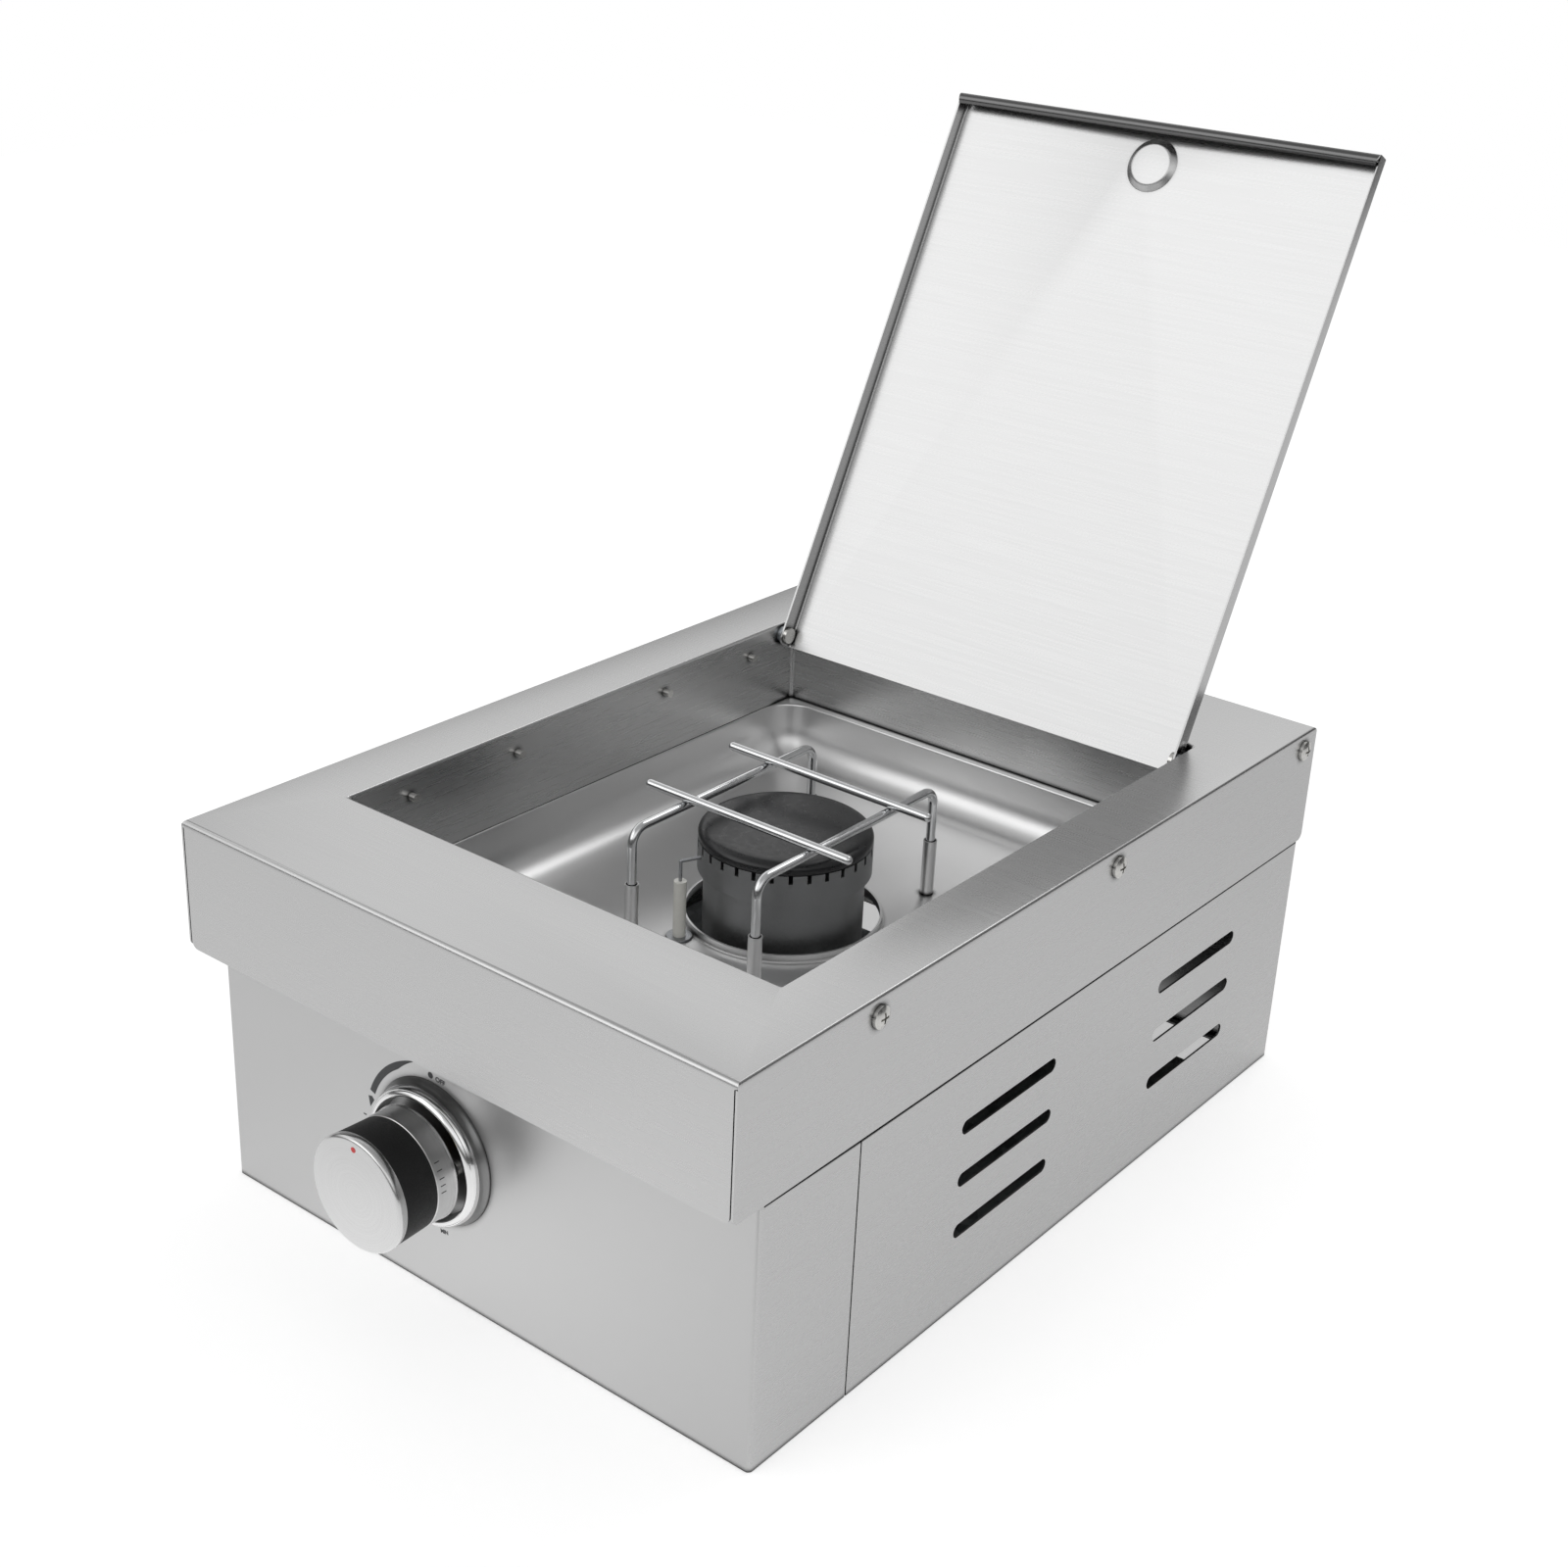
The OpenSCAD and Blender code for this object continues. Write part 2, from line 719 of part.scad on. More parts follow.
module side_panel_right() {
    color("lightgray") side_panel();
}

module side_panel_left() {
    color("lightgray") mirror([1, 0, 0]) side_panel();
}

// Cuts for the rear screws, through the side panels' rear flanges and the rear panel
module rear_screw_holes() {
    both_sides() for (z = [rear_screw_low, rear_screw_high])
        translate([rear_screw_x, rear_y - 2 * sheet - over, z])
            bar_y(2 * sheet + 2 * over, screw_r + screw_gap);
}

// Rear panel behind the side panels' flanges, with its bottom flange and the gas inlet's hole
module rear_panel() {
    half = panel_x - sheet - sheet_gap;
    inner_y = rear_y - 2 * sheet;
    foot_x = panel_x - flange_w - sheet;
    color("gray") difference() {
        union() {
            across_y(inner_y, sheet) translate([-half, 0]) square([2 * half, under_top - sheet_gap]);
            block([-foot_x, inner_y + sheet - rear_foot_w, 0], [foot_x, inner_y, sheet]);
        }
        rear_screw_holes();
        translate([pipe_x, inner_y - over, knob_z]) bar_y(sheet + 2 * over, thread_r + screw_gap);
    }
}

// Base plate between the panels, under their flanges
module base_plate() {
    half = panel_x - sheet - sheet_gap;
    color("darkgray") difference() {
        block([-half, base_front, 0], [half, base_rear, sheet]);
        for (p = base_points) translate([p.x, p.y, 0]) {
            translate([0, 0, -over]) cylinder(h = sheet + 2 * over, r = screw_r + screw_gap);
            translate([0, 0, -sheet / 100]) cylinder(h = sheet, r1 = head_small_r, r2 = screw_r + screw_gap);
        }
    }
}

module skirt_screws() {
    color("whitesmoke") both_sides() for (i = [0:2])
        translate([half_w, skirt_screw_ys[i], skirt_screw_z]) rotate([0, 90, 0])
            pan_screw(big_screw_r, half_w - skirt_nut_x(i) + nut_h + thread_tail, big_head_r, big_head_h);
}

// Face that the nut of a skirt screw bears on: the front one also holds the lap strip
function skirt_nut_x(i) = panel_x - sheet - (i == 0 ? sheet : 0);

module skirt_nuts() {
    color("gray") both_sides() for (i = [0:2])
        translate([skirt_nut_x(i) - nut_h, skirt_screw_ys[i], skirt_screw_z]) rotate([0, 90, 0])
            nut(big_nut_w, big_screw_r);
}

module rear_screws() {
    color("whitesmoke") both_sides() for (z = [rear_screw_low, rear_screw_high])
        translate([rear_screw_x, rear_y, z]) rotate([-90, 0, 0])
            pan_screw(screw_r, 2 * sheet + nut_h + thread_tail, head_small_r, head_small_h);
}

module rear_nuts() {
    color("gray") both_sides() for (z = [rear_screw_low, rear_screw_high])
        translate([rear_screw_x, rear_y - 2 * sheet, z]) rotate([90, 0, 0]) nut(nut_w, screw_r);
}

// Countersunk screws, flush with the underside of the base
module base_screws() {
    color("gray") for (p = base_points) translate([p.x, p.y, 0]) {
        cylinder(h = sheet, r1 = head_small_r - screw_gap, r2 = screw_r);
        cylinder(h = 2 * sheet + nut_h + thread_tail, r = screw_r);
    }
}

module base_nuts() {
    color("dimgray") for (p = base_points) translate([p.x, p.y, 2 * sheet]) nut(nut_w, screw_r);
}

// Right-hand tray hanger: an angle on the outside of the well's wall
module tray_hanger() {
    difference() {
        union() {
            block([hanger_x, -hanger_y, tray_top], [hanger_x + hanger_t, hanger_y, tray_top + hanger_h]);
            block([hanger_x, -hanger_y, tray_top], [rim_x, hanger_y, tray_top + hanger_t]);
        }
        lid_rest_holes();
        tray_screw_holes();
    }
}

// Cuts for the tray screws, through the tray's rim and the hangers
module tray_screw_holes() {
    both_sides() for (y = [-tray_screw_y, 0, tray_screw_y])
        translate([tray_screw_x, y, tray_top - sheet - over])
            cylinder(h = sheet + hanger_t + 2 * over, r = screw_r + screw_gap);
}

module tray_hanger_right() {
    color("darkgray") tray_hanger();
}

module tray_hanger_left() {
    color("darkgray") mirror([1, 0, 0]) tray_hanger();
}

// Screws whose ends stand in the well, where the closed lid's lips rest on them
module lid_rest_screws() {
    l = sheet + hanger_t + rest_reach;
    color("gray") both_sides() for (y = lid_rest_ys)
        translate([hanger_x + hanger_t, y, rest_z]) rotate([0, 90, 0])
            pan_screw(screw_r, l, head_small_r, head_small_h);
}

// Pressed drip tray with a rim, a collared hole for the burner and a hole for the electrode
module drip_tray() {
    color("lightgray") difference() {
        union() {
            translate([0, 0, tray_top - sheet]) linear_extrude(sheet)
                square([2 * rim_x, 2 * rim_y], center = true);
            translate([0, tray_mid, tray_floor - sheet])
                tub(tray_w + 2 * sheet, tray_d + 2 * sheet, tray_depth, tray_r + sheet);
        }
        difference() {
            translate([0, tray_mid, tray_floor]) tub(tray_w, tray_d, tray_depth + over, tray_r);
            translate([0, 0, tray_floor - over]) cylinder(h = collar_h + over, r = burner_hole_r + sheet);
        }
        translate([0, 0, tray_floor - sheet - over])
            cylinder(h = collar_h + sheet + 2 * over, r = burner_hole_r);
        translate([knob_x, electrode_y, tray_floor - sheet - over])
            cylinder(h = sheet + 2 * over, r = insulator_r + screw_gap);
        tray_screw_holes();
    }
}

module tray_screws() {
    color("gray") both_sides() for (y = [-tray_screw_y, 0, tray_screw_y])
        translate([tray_screw_x, y, tray_top - sheet]) rotate([180, 0, 0])
            pan_screw(screw_r, sheet + hanger_t + nut_h + thread_tail, head_small_r, head_small_h);
}

module tray_nuts() {
    color("dimgray") both_sides() for (y = [-tray_screw_y, 0, tray_screw_y])
        translate([tray_screw_x, y, tray_top + hanger_t]) nut(nut_w, screw_r);
}

// Tubes welded to the tray floor that hold the pan support's legs
module support_sockets() {
    color("silver") for (sx = [-1, 1], sy = [-1, 1]) translate([sx * leg_x, sy * leg_y, tray_floor])
        difference() {
            cylinder(h = socket_h, r = socket_r);
            translate([0, 0, -over]) cylinder(h = socket_h + 2 * over, r = socket_bore_r);
        }
}

// Cast bowl with two lugs and the mixing tube, which runs forward from under the bowl
module burner_body() {
    tube_l = -throat_y;
    bore = mix_r - mix_wall;
    color("dimgray") difference() {
        union() {
            translate([0, 0, bowl_z]) cylinder(h = bowl_h, r = bowl_r);
            block([-lug_x, -head_small_r, bowl_z], [lug_x, head_small_r, bowl_z + 2 * cast_wall]);
            for (s = [-1, 1]) translate([s * lug_x, 0, bowl_z]) cylinder(h = 2 * cast_wall, r = head_small_r);
            translate([knob_x, 0, knob_z]) {
                cylinder(h = bowl_z - knob_z + cast_wall, r = mix_r);
                sphere(mix_r);
                translate([0, throat_y, 0]) bar_y(tube_l, mix_r);
            }
            translate([knob_x, throat_y, knob_z]) rotate([90, 0, 0])
                cylinder(h = throat_y - mouth_y, r1 = mix_r, r2 = mix_r + mouth_flare);
        }
        translate([0, 0, bowl_z + cast_wall]) cylinder(h = bowl_h, r = bowl_r - cast_wall);
        translate([knob_x, 0, knob_z]) {
            cylinder(h = bowl_z - knob_z + 2 * cast_wall, r = bore);
            sphere(bore);
            translate([0, throat_y - over, 0]) bar_y(tube_l + over, bore);
        }
        translate([knob_x, throat_y, knob_z]) rotate([90, 0, 0])
            cylinder(h = throat_y - mouth_y + over / 10, r1 = bore, r2 = bore + mouth_flare);
        air_windows(mix_r);
        for (s = [-1, 1]) translate([s * lug_x, 0, bowl_z - over])
            cylinder(h = cast_wall + over, r = screw_r + thread_gap);
    }
}

// Cuts for the two air windows, which the shutter covers as it turns
module air_windows(r) {
    for (s = [-1, 1])
        block([knob_x + s * r - r / 2, window_y, knob_z - r / 2],
            [knob_x + s * r + r / 2, window_y + shutter_l - 2 * window_edge, knob_z + r / 2]);
}

// Ring that turns on the mixing tube to set the air
module air_shutter() {
    r = mix_r + shutter_wall;
    color("gainsboro") difference() {
        translate([knob_x, shutter_y, knob_z]) bar_y(shutter_l, r);
        translate([knob_x, shutter_y - over, knob_z]) bar_y(shutter_l + 2 * over, mix_r + run_gap);
        air_windows(r);
    }
}

// Bridge on the base plate that carries the burner, with the mixing tube between its legs
module burner_bracket() {
    y = bracket_d / 2;
    top = bowl_z;
    color("darkgray") difference() {
        union() {
            block([-bracket_half, -y, top - bracket_t], [bracket_half, y, top]);
            both_sides() {
                block([bracket_half - bracket_t, -y, sheet], [bracket_half, y, top]);
                block([bracket_half - bracket_t, -y, sheet],
                    [bracket_half + bracket_foot, y, sheet + bracket_t]);
            }
        }
        translate([knob_x, 0, top - bracket_t - over]) cylinder(h = bracket_t + 2 * over, r = bracket_hole_r);
        both_sides() translate([lug_x, 0, top - bracket_t - over])
            cylinder(h = bracket_t + 2 * over, r = screw_r + screw_gap);
    }
}

module burner_screws() {
    color("gray") both_sides() translate([lug_x, 0, bowl_z - bracket_t]) rotate([180, 0, 0])
        pan_screw(screw_r, bracket_t + cast_wall - over, head_small_r, head_small_h);
}

// Ring of flame ports, which drops into the bowl
module burner_head() {
    inner_r = head_r - 4 * cast_wall;
    color("darkslategray") difference() {
        union() {
            translate([0, 0, bowl_top]) cylinder(h = head_h, r = head_r);
            translate([0, 0, bowl_top - 2 * cast_wall])
                cylinder(h = head_h, r = bowl_r - cast_wall - run_gap);
        }
        translate([0, 0, bowl_top - 2 * cast_wall - over])
            cylinder(h = head_h + 2 * cast_wall + 2 * over, r = inner_r);
        for (i = [0:ports - 1]) rotate(360 * i / ports)
            translate([inner_r - over, -port_w / 2, head_top - port_h]) cube([head_r, port_w, port_h + over]);
    }
}

// Loose cap with a low spigot, which closes the top of the flame ports
module burner_cap() {
    spigot_r = head_r - 4 * cast_wall - over;
    edge = cap_t / 2;
    color("black") difference() {
        union() {
            translate([0, 0, head_top]) rotate_extrude()
                polygon([[0, 0], [head_r, 0], [head_r, edge], [head_r - edge, cap_t], [0, cap_t]]);
            translate([0, 0, head_top - port_h]) cylinder(h = port_h + edge, r = spigot_r);
        }
        translate([0, 0, head_top - port_h - over]) cylinder(h = port_h + over, r = spigot_r - cast_wall);
    }
}

// Gas jet that blows into the mouth of the mixing tube
module injector() {
    color("goldenrod") difference() {
        translate([knob_x, valve_rear, knob_z]) rotate([-90, 0, 0]) {
            cylinder(h = jet_hex, d = nut_w / cos(30), $fn = 6);
            translate([0, 0, -jet_thread]) cylinder(h = jet_thread + jet_l, r = stem_r);
        }
        translate([knob_x, valve_rear - jet_thread - over, knob_z])
            bar_y(jet_thread + jet_l - jet_tip + over, stem_r / 2);
        translate([knob_x, valve_rear, knob_z]) bar_y(jet_l + over, stem_r / 6);
    }
}

// Valve body with a chamber for the plug, an inlet port at the side and two ears for its screws
module gas_valve() {
    half = valve_w / 2;
    ear = valve_screw_x + head_small_r + ear_edge;
    color("goldenrod") difference() {
        union() {
            block([knob_x - half, body_y, knob_z - half], [knob_x + half, valve_rear, knob_z + half]);
            block([knob_x - ear, body_y, knob_z - half / 2],
                [knob_x + ear, body_y + valve_ear_t, knob_z + half / 2]);
            translate([knob_x + half, pipe_y, knob_z]) bar_x(port_l, pipe_r + port_wall);
        }
        translate([knob_x, body_y - over, knob_z])
            bar_y(plug_y + plug_l + end_gap - body_y + over, plug_r + run_gap);
        translate([knob_x, body_y, knob_z]) bar_y(valve_l, stem_r + thread_gap);
        translate([knob_x + plug_r / 2, pipe_y, knob_z]) bar_x(half + port_l, pipe_r - pipe_wall);
        for (s = [-1, 1]) translate([knob_x + s * valve_screw_x, body_y - over, knob_z])
            bar_y(valve_ear_t + 2 * over, screw_r + thread_gap);
    }
}

// Plate between the front panel and the valve body, which keeps the stem in
module valve_bonnet() {
    ear = valve_screw_x + head_small_r + ear_edge;
    half = valve_w / 2;
    color("darkgoldenrod") difference() {
        block([knob_x - ear, valve_y, knob_z - half], [knob_x + ear, body_y, knob_z + half]);
        translate([knob_x, valve_y - over, knob_z]) bar_y(bonnet_t + 2 * over, stem_r + side_gap);
        valve_screw_holes();
    }
}

// Plug that turns in the valve body, with the gas port across it and the stem's keyed socket
module valve_plug() {
    socket_l = stem_tail + push_travel + over - plug_y;
    color("gold") difference() {
        translate([knob_x, plug_y, knob_z]) bar_y(plug_l, plug_r);
        translate([knob_x, plug_y - over, knob_z]) difference() {
            bar_y(socket_l + over, stem_r + run_gap);
            stem_flat(socket_l + over, stem_r + run_gap);
        }
        translate([knob_x, plug_y + plug_l - port_r - port_edge, knob_z])
            cylinder(h = plug_r + over, r = port_r);
    }
}

// Part of a keyed stem's round section that its flat takes away, along +Y
module stem_flat(l, r) {
    translate([-r, -over, r - flat_depth]) cube([2 * r, l + 2 * over, flat_depth]);
}

// Keyed stem from the plug out to the knob, with the collar that its spring pushes on
module valve_stem() {
    front = front_y - stem_end;
    flat_y = plug_y - push_travel - 2 * over;
    color("goldenrod") translate([knob_x, 0, knob_z]) {
        difference() {
            translate([0, front, 0]) bar_y(stem_tail - front, stem_r);
            translate([0, flat_y, 0]) stem_flat(stem_tail - flat_y, stem_r);
            translate([0, front, 0]) stem_flat(stem_end - hub_back, stem_r);
        }
        translate([0, collar_y, 0]) bar_y(collar_t, collar_r);
    }
}

// Coil spring round the stem, between the plug and the collar: 3 turns of thin wire
module stem_spring() {
    wire = 0.5;
    mid = (stem_r + plug_r) / 2;
    turns = 3;
    rings = 24 * turns;
    sides = 6;
    rise = spring_l - 2 * wire;
    points = [
        for (i = [0:rings], j = [0:sides - 1])
            let (turn = 360 * turns * i / rings, side = 360 * j / sides, r = mid + wire * cos(side))
                [r * cos(turn), r * sin(turn), wire + rise * i / rings + wire * sin(side)]
    ];
    skin = [
        for (i = [0:rings - 1], j = [0:sides - 1])
            let (k = (j + 1) % sides, a = i * sides + j, b = i * sides + k, c = a + sides, d = b + sides)
                each [[a, b, d], [a, d, c]]
    ];
    first = [for (j = [1:sides - 2]) [0, j + 1, j]];
    end = rings * sides;
    last = [for (j = [1:sides - 2]) [end, end + j, end + j + 1]];
    color("silver") translate([knob_x, spring_y, knob_z]) rotate([-90, 0, 0])
        polyhedron(points, concat(skin, first, last), convexity = 6);
}

// Screws through the bezel and panel into the valve's ears
module valve_screws() {
    color("silver") at_knob() for (s = [-1, 1]) translate([s * valve_screw_x, 0, bezel_floor])
        pan_screw(screw_r, bezel_floor + sheet + bonnet_t + valve_screw_in, head_small_r, head_small_h);
}

// Spark unit on top of the valve, with a stub where the lead goes in
module piezo_igniter() {
    z = knob_z + valve_w / 2;
    color("whitesmoke") {
        block([knob_x - piezo_w / 2, piezo_y, z], [knob_x + piezo_w / 2, lead_y - lead_stub, z + piezo_h]);
        translate([knob_x, lead_y - lead_stub, lead_z]) bar_y(lead_stub, lead_r + stub_wall);
    }
}

// Ignition lead from the spark unit back under the tray and up to the electrode
module ignition_lead() {
    run = electrode_y - lead_bend - lead_y;
    color("firebrick") translate([knob_x, lead_y, lead_z]) {
        bar_y(run, lead_r);
        translate([0, run, lead_bend]) rotate([90, 0, 90]) rotate([0, 0, -90])
            rotate_extrude(angle = 90) translate([lead_bend, 0]) circle(lead_r);
    }
}

// Ceramic insulator that stands through the tray floor, with a shoulder under the floor
module electrode_insulator() {
    color("white") translate([knob_x, electrode_y, 0]) difference() {
        union() {
            translate([0, 0, insulator_z]) cylinder(h = insulator_top - insulator_z, r = insulator_r);
            translate([0, 0, tray_floor - sheet - flange_step])
                cylinder(h = flange_step, r = insulator_r + shoulder_w);
        }
        translate([0, 0, insulator_z - over])
            cylinder(h = insulator_top - insulator_z + 2 * over, r = electrode_r + thread_gap);
    }
}

// Spark wire, with its tip bent towards the flame ports
module electrode_wire() {
    tip = electrode_at - head_r - spark_gap;
    heading = atan2(-electrode_y, -knob_x);
    color("gray") translate([knob_x, electrode_y, 0]) {
        translate([0, 0, insulator_z]) cylinder(h = spark_z - insulator_z, r = electrode_r);
        translate([0, 0, spark_z]) sphere(electrode_r);
        translate([0, 0, spark_z]) rotate(heading) bar_x(tip, electrode_r);
    }
}

// Push-on ring that holds the insulator down on the tray floor
module electrode_clip() {
    color("silver") translate([knob_x, electrode_y, tray_floor]) difference() {
        cylinder(h = clip_t, r = insulator_r + flange_step);
        translate([0, 0, -over]) cylinder(h = clip_t + 2 * over, r = insulator_r + thread_gap);
    }
}

// Gas pipe from the valve's inlet port to the fitting in the rear panel
module gas_pipe() {
    start_x = knob_x + valve_w / 2 + port_l;
    color("peru") difference() {
        pipe_route(start_x, pipe_r, 0);
        pipe_route(start_x, pipe_r - pipe_wall, over);
    }
}

// Round bar along the pipe's route, with its ends longer by extra
module pipe_route(start_x, r, extra) {
    corner_x = pipe_x - pipe_bend;
    corner_y = pipe_y + pipe_bend;
    translate([start_x - extra, pipe_y, knob_z]) bar_x(corner_x - start_x + extra, r);
    translate([corner_x, corner_y, knob_z]) rotate([0, 0, -90])
        rotate_extrude(angle = 90) translate([pipe_bend, 0]) circle(r);
    translate([pipe_x, corner_y, knob_z]) bar_y(fitting_y - corner_y + extra, r);
}

// Brass inlet: a shoulder inside the rear panel, a thread through it and a hose tail behind
module inlet_fitting() {
    tail_start = rear_y + thread_out;
    color("goldenrod") difference() {
        translate([pipe_x, 0, knob_z]) {
            translate([0, fitting_y, 0]) bar_y(fitting_l, thread_r + shoulder_w);
            translate([0, fitting_y, 0]) bar_y(tail_start - fitting_y, thread_r);
            translate([0, fitting_y, 0]) bar_y(tail_start + tail_l - fitting_y, tail_r);
        }
        translate([pipe_x, fitting_y - over, knob_z])
            bar_y(tail_start + tail_l - fitting_y + 2 * over, pipe_r - pipe_wall);
    }
}

module inlet_nut() {
    color("darkgoldenrod") translate([pipe_x, rear_y - sheet, knob_z]) rotate([-90, 0, 0]) difference() {
        cylinder(h = inlet_nut_h, r = thread_r + 2 * shoulder_w, $fn = 6);
        translate([0, 0, -over]) cylinder(h = inlet_nut_h + 2 * over, r = thread_r + thread_gap);
    }
}

// Lid: a sheet with lips folded down at the sides and front, and a hem along the front lip
module lid_panel() {
    half = lid_w / 2;
    depth = lid_rear - lid_front;
    color("gainsboro") as_open() difference() {
        union() {
            translate([0, 0, under_top]) linear_extrude(sheet) difference() {
                translate([-half, lid_front]) square([lid_w, depth]);
                translate([0, lid_front + dish_front]) circle(dish_r);
            }
            both_sides() across_x(half - sheet, sheet) lip_outline();
            block([-half, lid_front, lip_z], [half, lid_front + sheet, body_h - sheet / 2]);
            block([-half, lid_front, lip_z], [half, lid_front + sheet + lid_hem, lip_z + sheet]);
            translate([0, lid_front + dish_front, body_h]) rotate_extrude() dish_section();
        }
        both_sides() translate([half - sheet - over, pivot_y, pivot_z])
            bar_x(sheet + 2 * over, pin_r + run_gap);
    }
}

// Side of the lid, with its rear lower corner rounded
module lip_outline() {
    r = lip_corner_r;
    translate([lid_front, lip_z]) square([lid_rear - lid_front - r, lid_lip - sheet / 2]);
    translate([lid_rear - 2 * r, lip_z + r]) square([2 * r, lid_lip - sheet / 2 - r]);
    translate([lid_rear - r, lip_z + r]) circle(r);
}

// Half of the dish's section, with the top face of the lid at zero
module dish_section() {
    inner = dish_r - dish_slope;
    polygon([
        [0, -dish_depth], [inner, -dish_depth], [dish_r, 0],
        [dish_r, -sheet], [inner, -dish_depth - sheet], [0, -dish_depth - sheet],
    ]);
}

// Hinge pins: a head inside the lid's lip and a shank through the lip, spacer and well wall
module hinge_pins() {
    head_x = lid_w / 2 - sheet - side_gap;
    color("silver") both_sides() translate([head_x, pivot_y, pivot_z]) {
        translate([-pin_head_t, 0, 0]) bar_x(pin_head_t, pin_head_r);
        bar_x(hanger_x - head_x + nut_h + thread_tail, pin_r);
    }
}

module hinge_spacers() {
    start_x = lid_w / 2 + side_gap;
    color("gray") both_sides() translate([start_x, pivot_y, pivot_z]) difference() {
        bar_x(well_x - start_x, pin_head_r);
        translate([-over, 0, 0]) bar_x(well_x - start_x + 2 * over, pin_r + run_gap);
    }
}

module hinge_nuts() {
    color("gray") both_sides() translate([hanger_x, pivot_y, pivot_z]) rotate([0, 90, 0])
        nut(big_nut_w, pin_r);
}

// Dished metal bezel behind the knob
module knob_bezel() {
    bore = hub_r + bezel_floor;
    crown = bezel_recess_r + (bezel_ring_r - bezel_recess_r) / 2;
    color("silver") difference() {
        at_knob() rotate_extrude() polygon([
            [bore, 0], [bezel_r, 0], [bezel_r, bezel_edge], [bezel_ring_r, bezel_h - bezel_crown],
            [crown, bezel_h], [bezel_recess_r, bezel_h],
            [bezel_recess_r - bezel_edge, bezel_floor], [bore, bezel_floor],
        ]);
        valve_screw_holes();
    }
}

// Metal ring at the rear of the knob, with the web that the hub carries
module knob_ring() {
    color("silver") at_knob() difference() {
        translate([0, 0, knob_gap]) cylinder(h = knob_ring_l, r = knob_ring_r);
        translate([0, 0, knob_gap - over])
            cylinder(h = knob_ring_l - web_t + over, r = knob_ring_r - knob_wall);
        translate([0, 0, knob_gap]) cylinder(h = knob_ring_l + over, r = hub_r + thread_gap);
    }
}

// Black grip between the metal ring and the cap
module knob_grip() {
    color("black") at_knob() difference() {
        translate([0, 0, grip_back]) cylinder(h = knob_grip_l, r1 = knob_ring_r, r2 = knob_r);
        translate([0, 0, grip_back - over]) cylinder(h = knob_grip_l + 2 * over, r = knob_ring_r - knob_wall);
    }
}

// Metal cap of the knob, with a bevelled edge and a seat for the red mark
module knob_cap() {
    color("silver") at_knob() difference() {
        union() {
            translate([0, 0, grip_front]) rotate_extrude() polygon([
                [0, 0], [knob_r, 0], [knob_r - knob_bevel, knob_cap_t], [0, knob_cap_t],
            ]);
            translate([0, 0, grip_front - cap_spigot])
                cylinder(h = cap_spigot, r = knob_ring_r - knob_wall - thread_gap);
        }
        translate([0, mark_at, knob_face - mark_seat])
            cylinder(h = mark_seat + over, r = mark_r + thread_gap);
        translate([0, 0, grip_front - cap_spigot - over])
            cylinder(h = cap_spigot + over, r = knob_ring_r - 2 * knob_wall);
    }
}

module knob_mark() {
    color("red") at_knob() translate([0, mark_at, knob_face - mark_seat]) cylinder(h = mark_t, r = mark_r);
}

// Hub inside the knob, bored for the keyed stem, with a disc that fills the grip
module knob_hub() {
    color("dimgray") at_knob() difference() {
        union() {
            translate([0, 0, hub_back]) cylinder(h = grip_front - hub_back, r = hub_r);
            translate([0, 0, grip_back]) cylinder(h = web_t, r = knob_ring_r - knob_wall - thread_gap);
        }
        difference() {
            translate([0, 0, hub_back - over])
                cylinder(h = stem_end - hub_back + 2 * over, r = stem_r + thread_gap);
            translate([-stem_r, stem_r + thread_gap - flat_depth, hub_back + over])
                cube([2 * stem_r, flat_depth, stem_end]);
        }
    }
}

// One bent wire of the pan support, along Y at the right-hand legs
module support_rod() {
    top = wire_z - wire_bend;
    color("gainsboro") translate([leg_x, 0, 0]) {
        for (s = [0, 1]) mirror([0, s, 0]) {
            translate([0, leg_y, tray_floor + rest_gap])
                cylinder(h = top - tray_floor - rest_gap, r = wire_r);
            translate([0, leg_y - wire_bend, top]) rotate([90, 0, 90])
                rotate_extrude(angle = 90) translate([wire_bend, 0]) circle(wire_r);
        }
        translate([0, wire_bend - leg_y, wire_z]) bar_y(2 * (leg_y - wire_bend), wire_r);
    }
}

module support_rod_right() {
    support_rod();
}

module support_rod_left() {
    mirror([1, 0, 0]) support_rod();
}

// Straight wire across the two bent ones, with round ends
module support_bar(y) {
    z = tray_floor + support_rise - wire_r;
    color("gainsboro") translate([0, y, z]) {
        translate([-bar_half + wire_r, 0, 0]) bar_x(2 * (bar_half - wire_r), wire_r);
        for (s = [-1, 1]) translate([s * (bar_half - wire_r), 0, 0]) sphere(wire_r);
    }
}

module support_bar_front() {
    support_bar(-bar_y);
}

module support_bar_rear() {
    support_bar(bar_y);
}

top_frame();
front_panel();
side_panel_left();
side_panel_right();
rear_panel();
base_plate();
skirt_screws();
skirt_nuts();
rear_screws();
rear_nuts();
base_screws();
base_nuts();
tray_hanger_left();
tray_hanger_right();
lid_rest_screws();
drip_tray();
tray_screws();
tray_nuts();
support_sockets();
burner_body();
burner_bracket();
burner_screws();
burner_head();
burner_cap();
air_shutter();
injector();
gas_valve();
valve_bonnet();
valve_plug();
valve_stem();
stem_spring();
valve_screws();
piezo_igniter();
ignition_lead();
electrode_insulator();
electrode_wire();
electrode_clip();
gas_pipe();
inlet_fitting();
inlet_nut();
lid_panel();
hinge_pins();
hinge_spacers();
hinge_nuts();
knob_bezel();
knob_ring();
knob_grip();
knob_cap();
knob_mark();
knob_hub();
support_rod_left();
support_rod_right();
support_bar_front();
support_bar_rear();
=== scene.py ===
"""Looks of a portable gas stove: folded stainless casing, open lid, covered burner and control knob."""

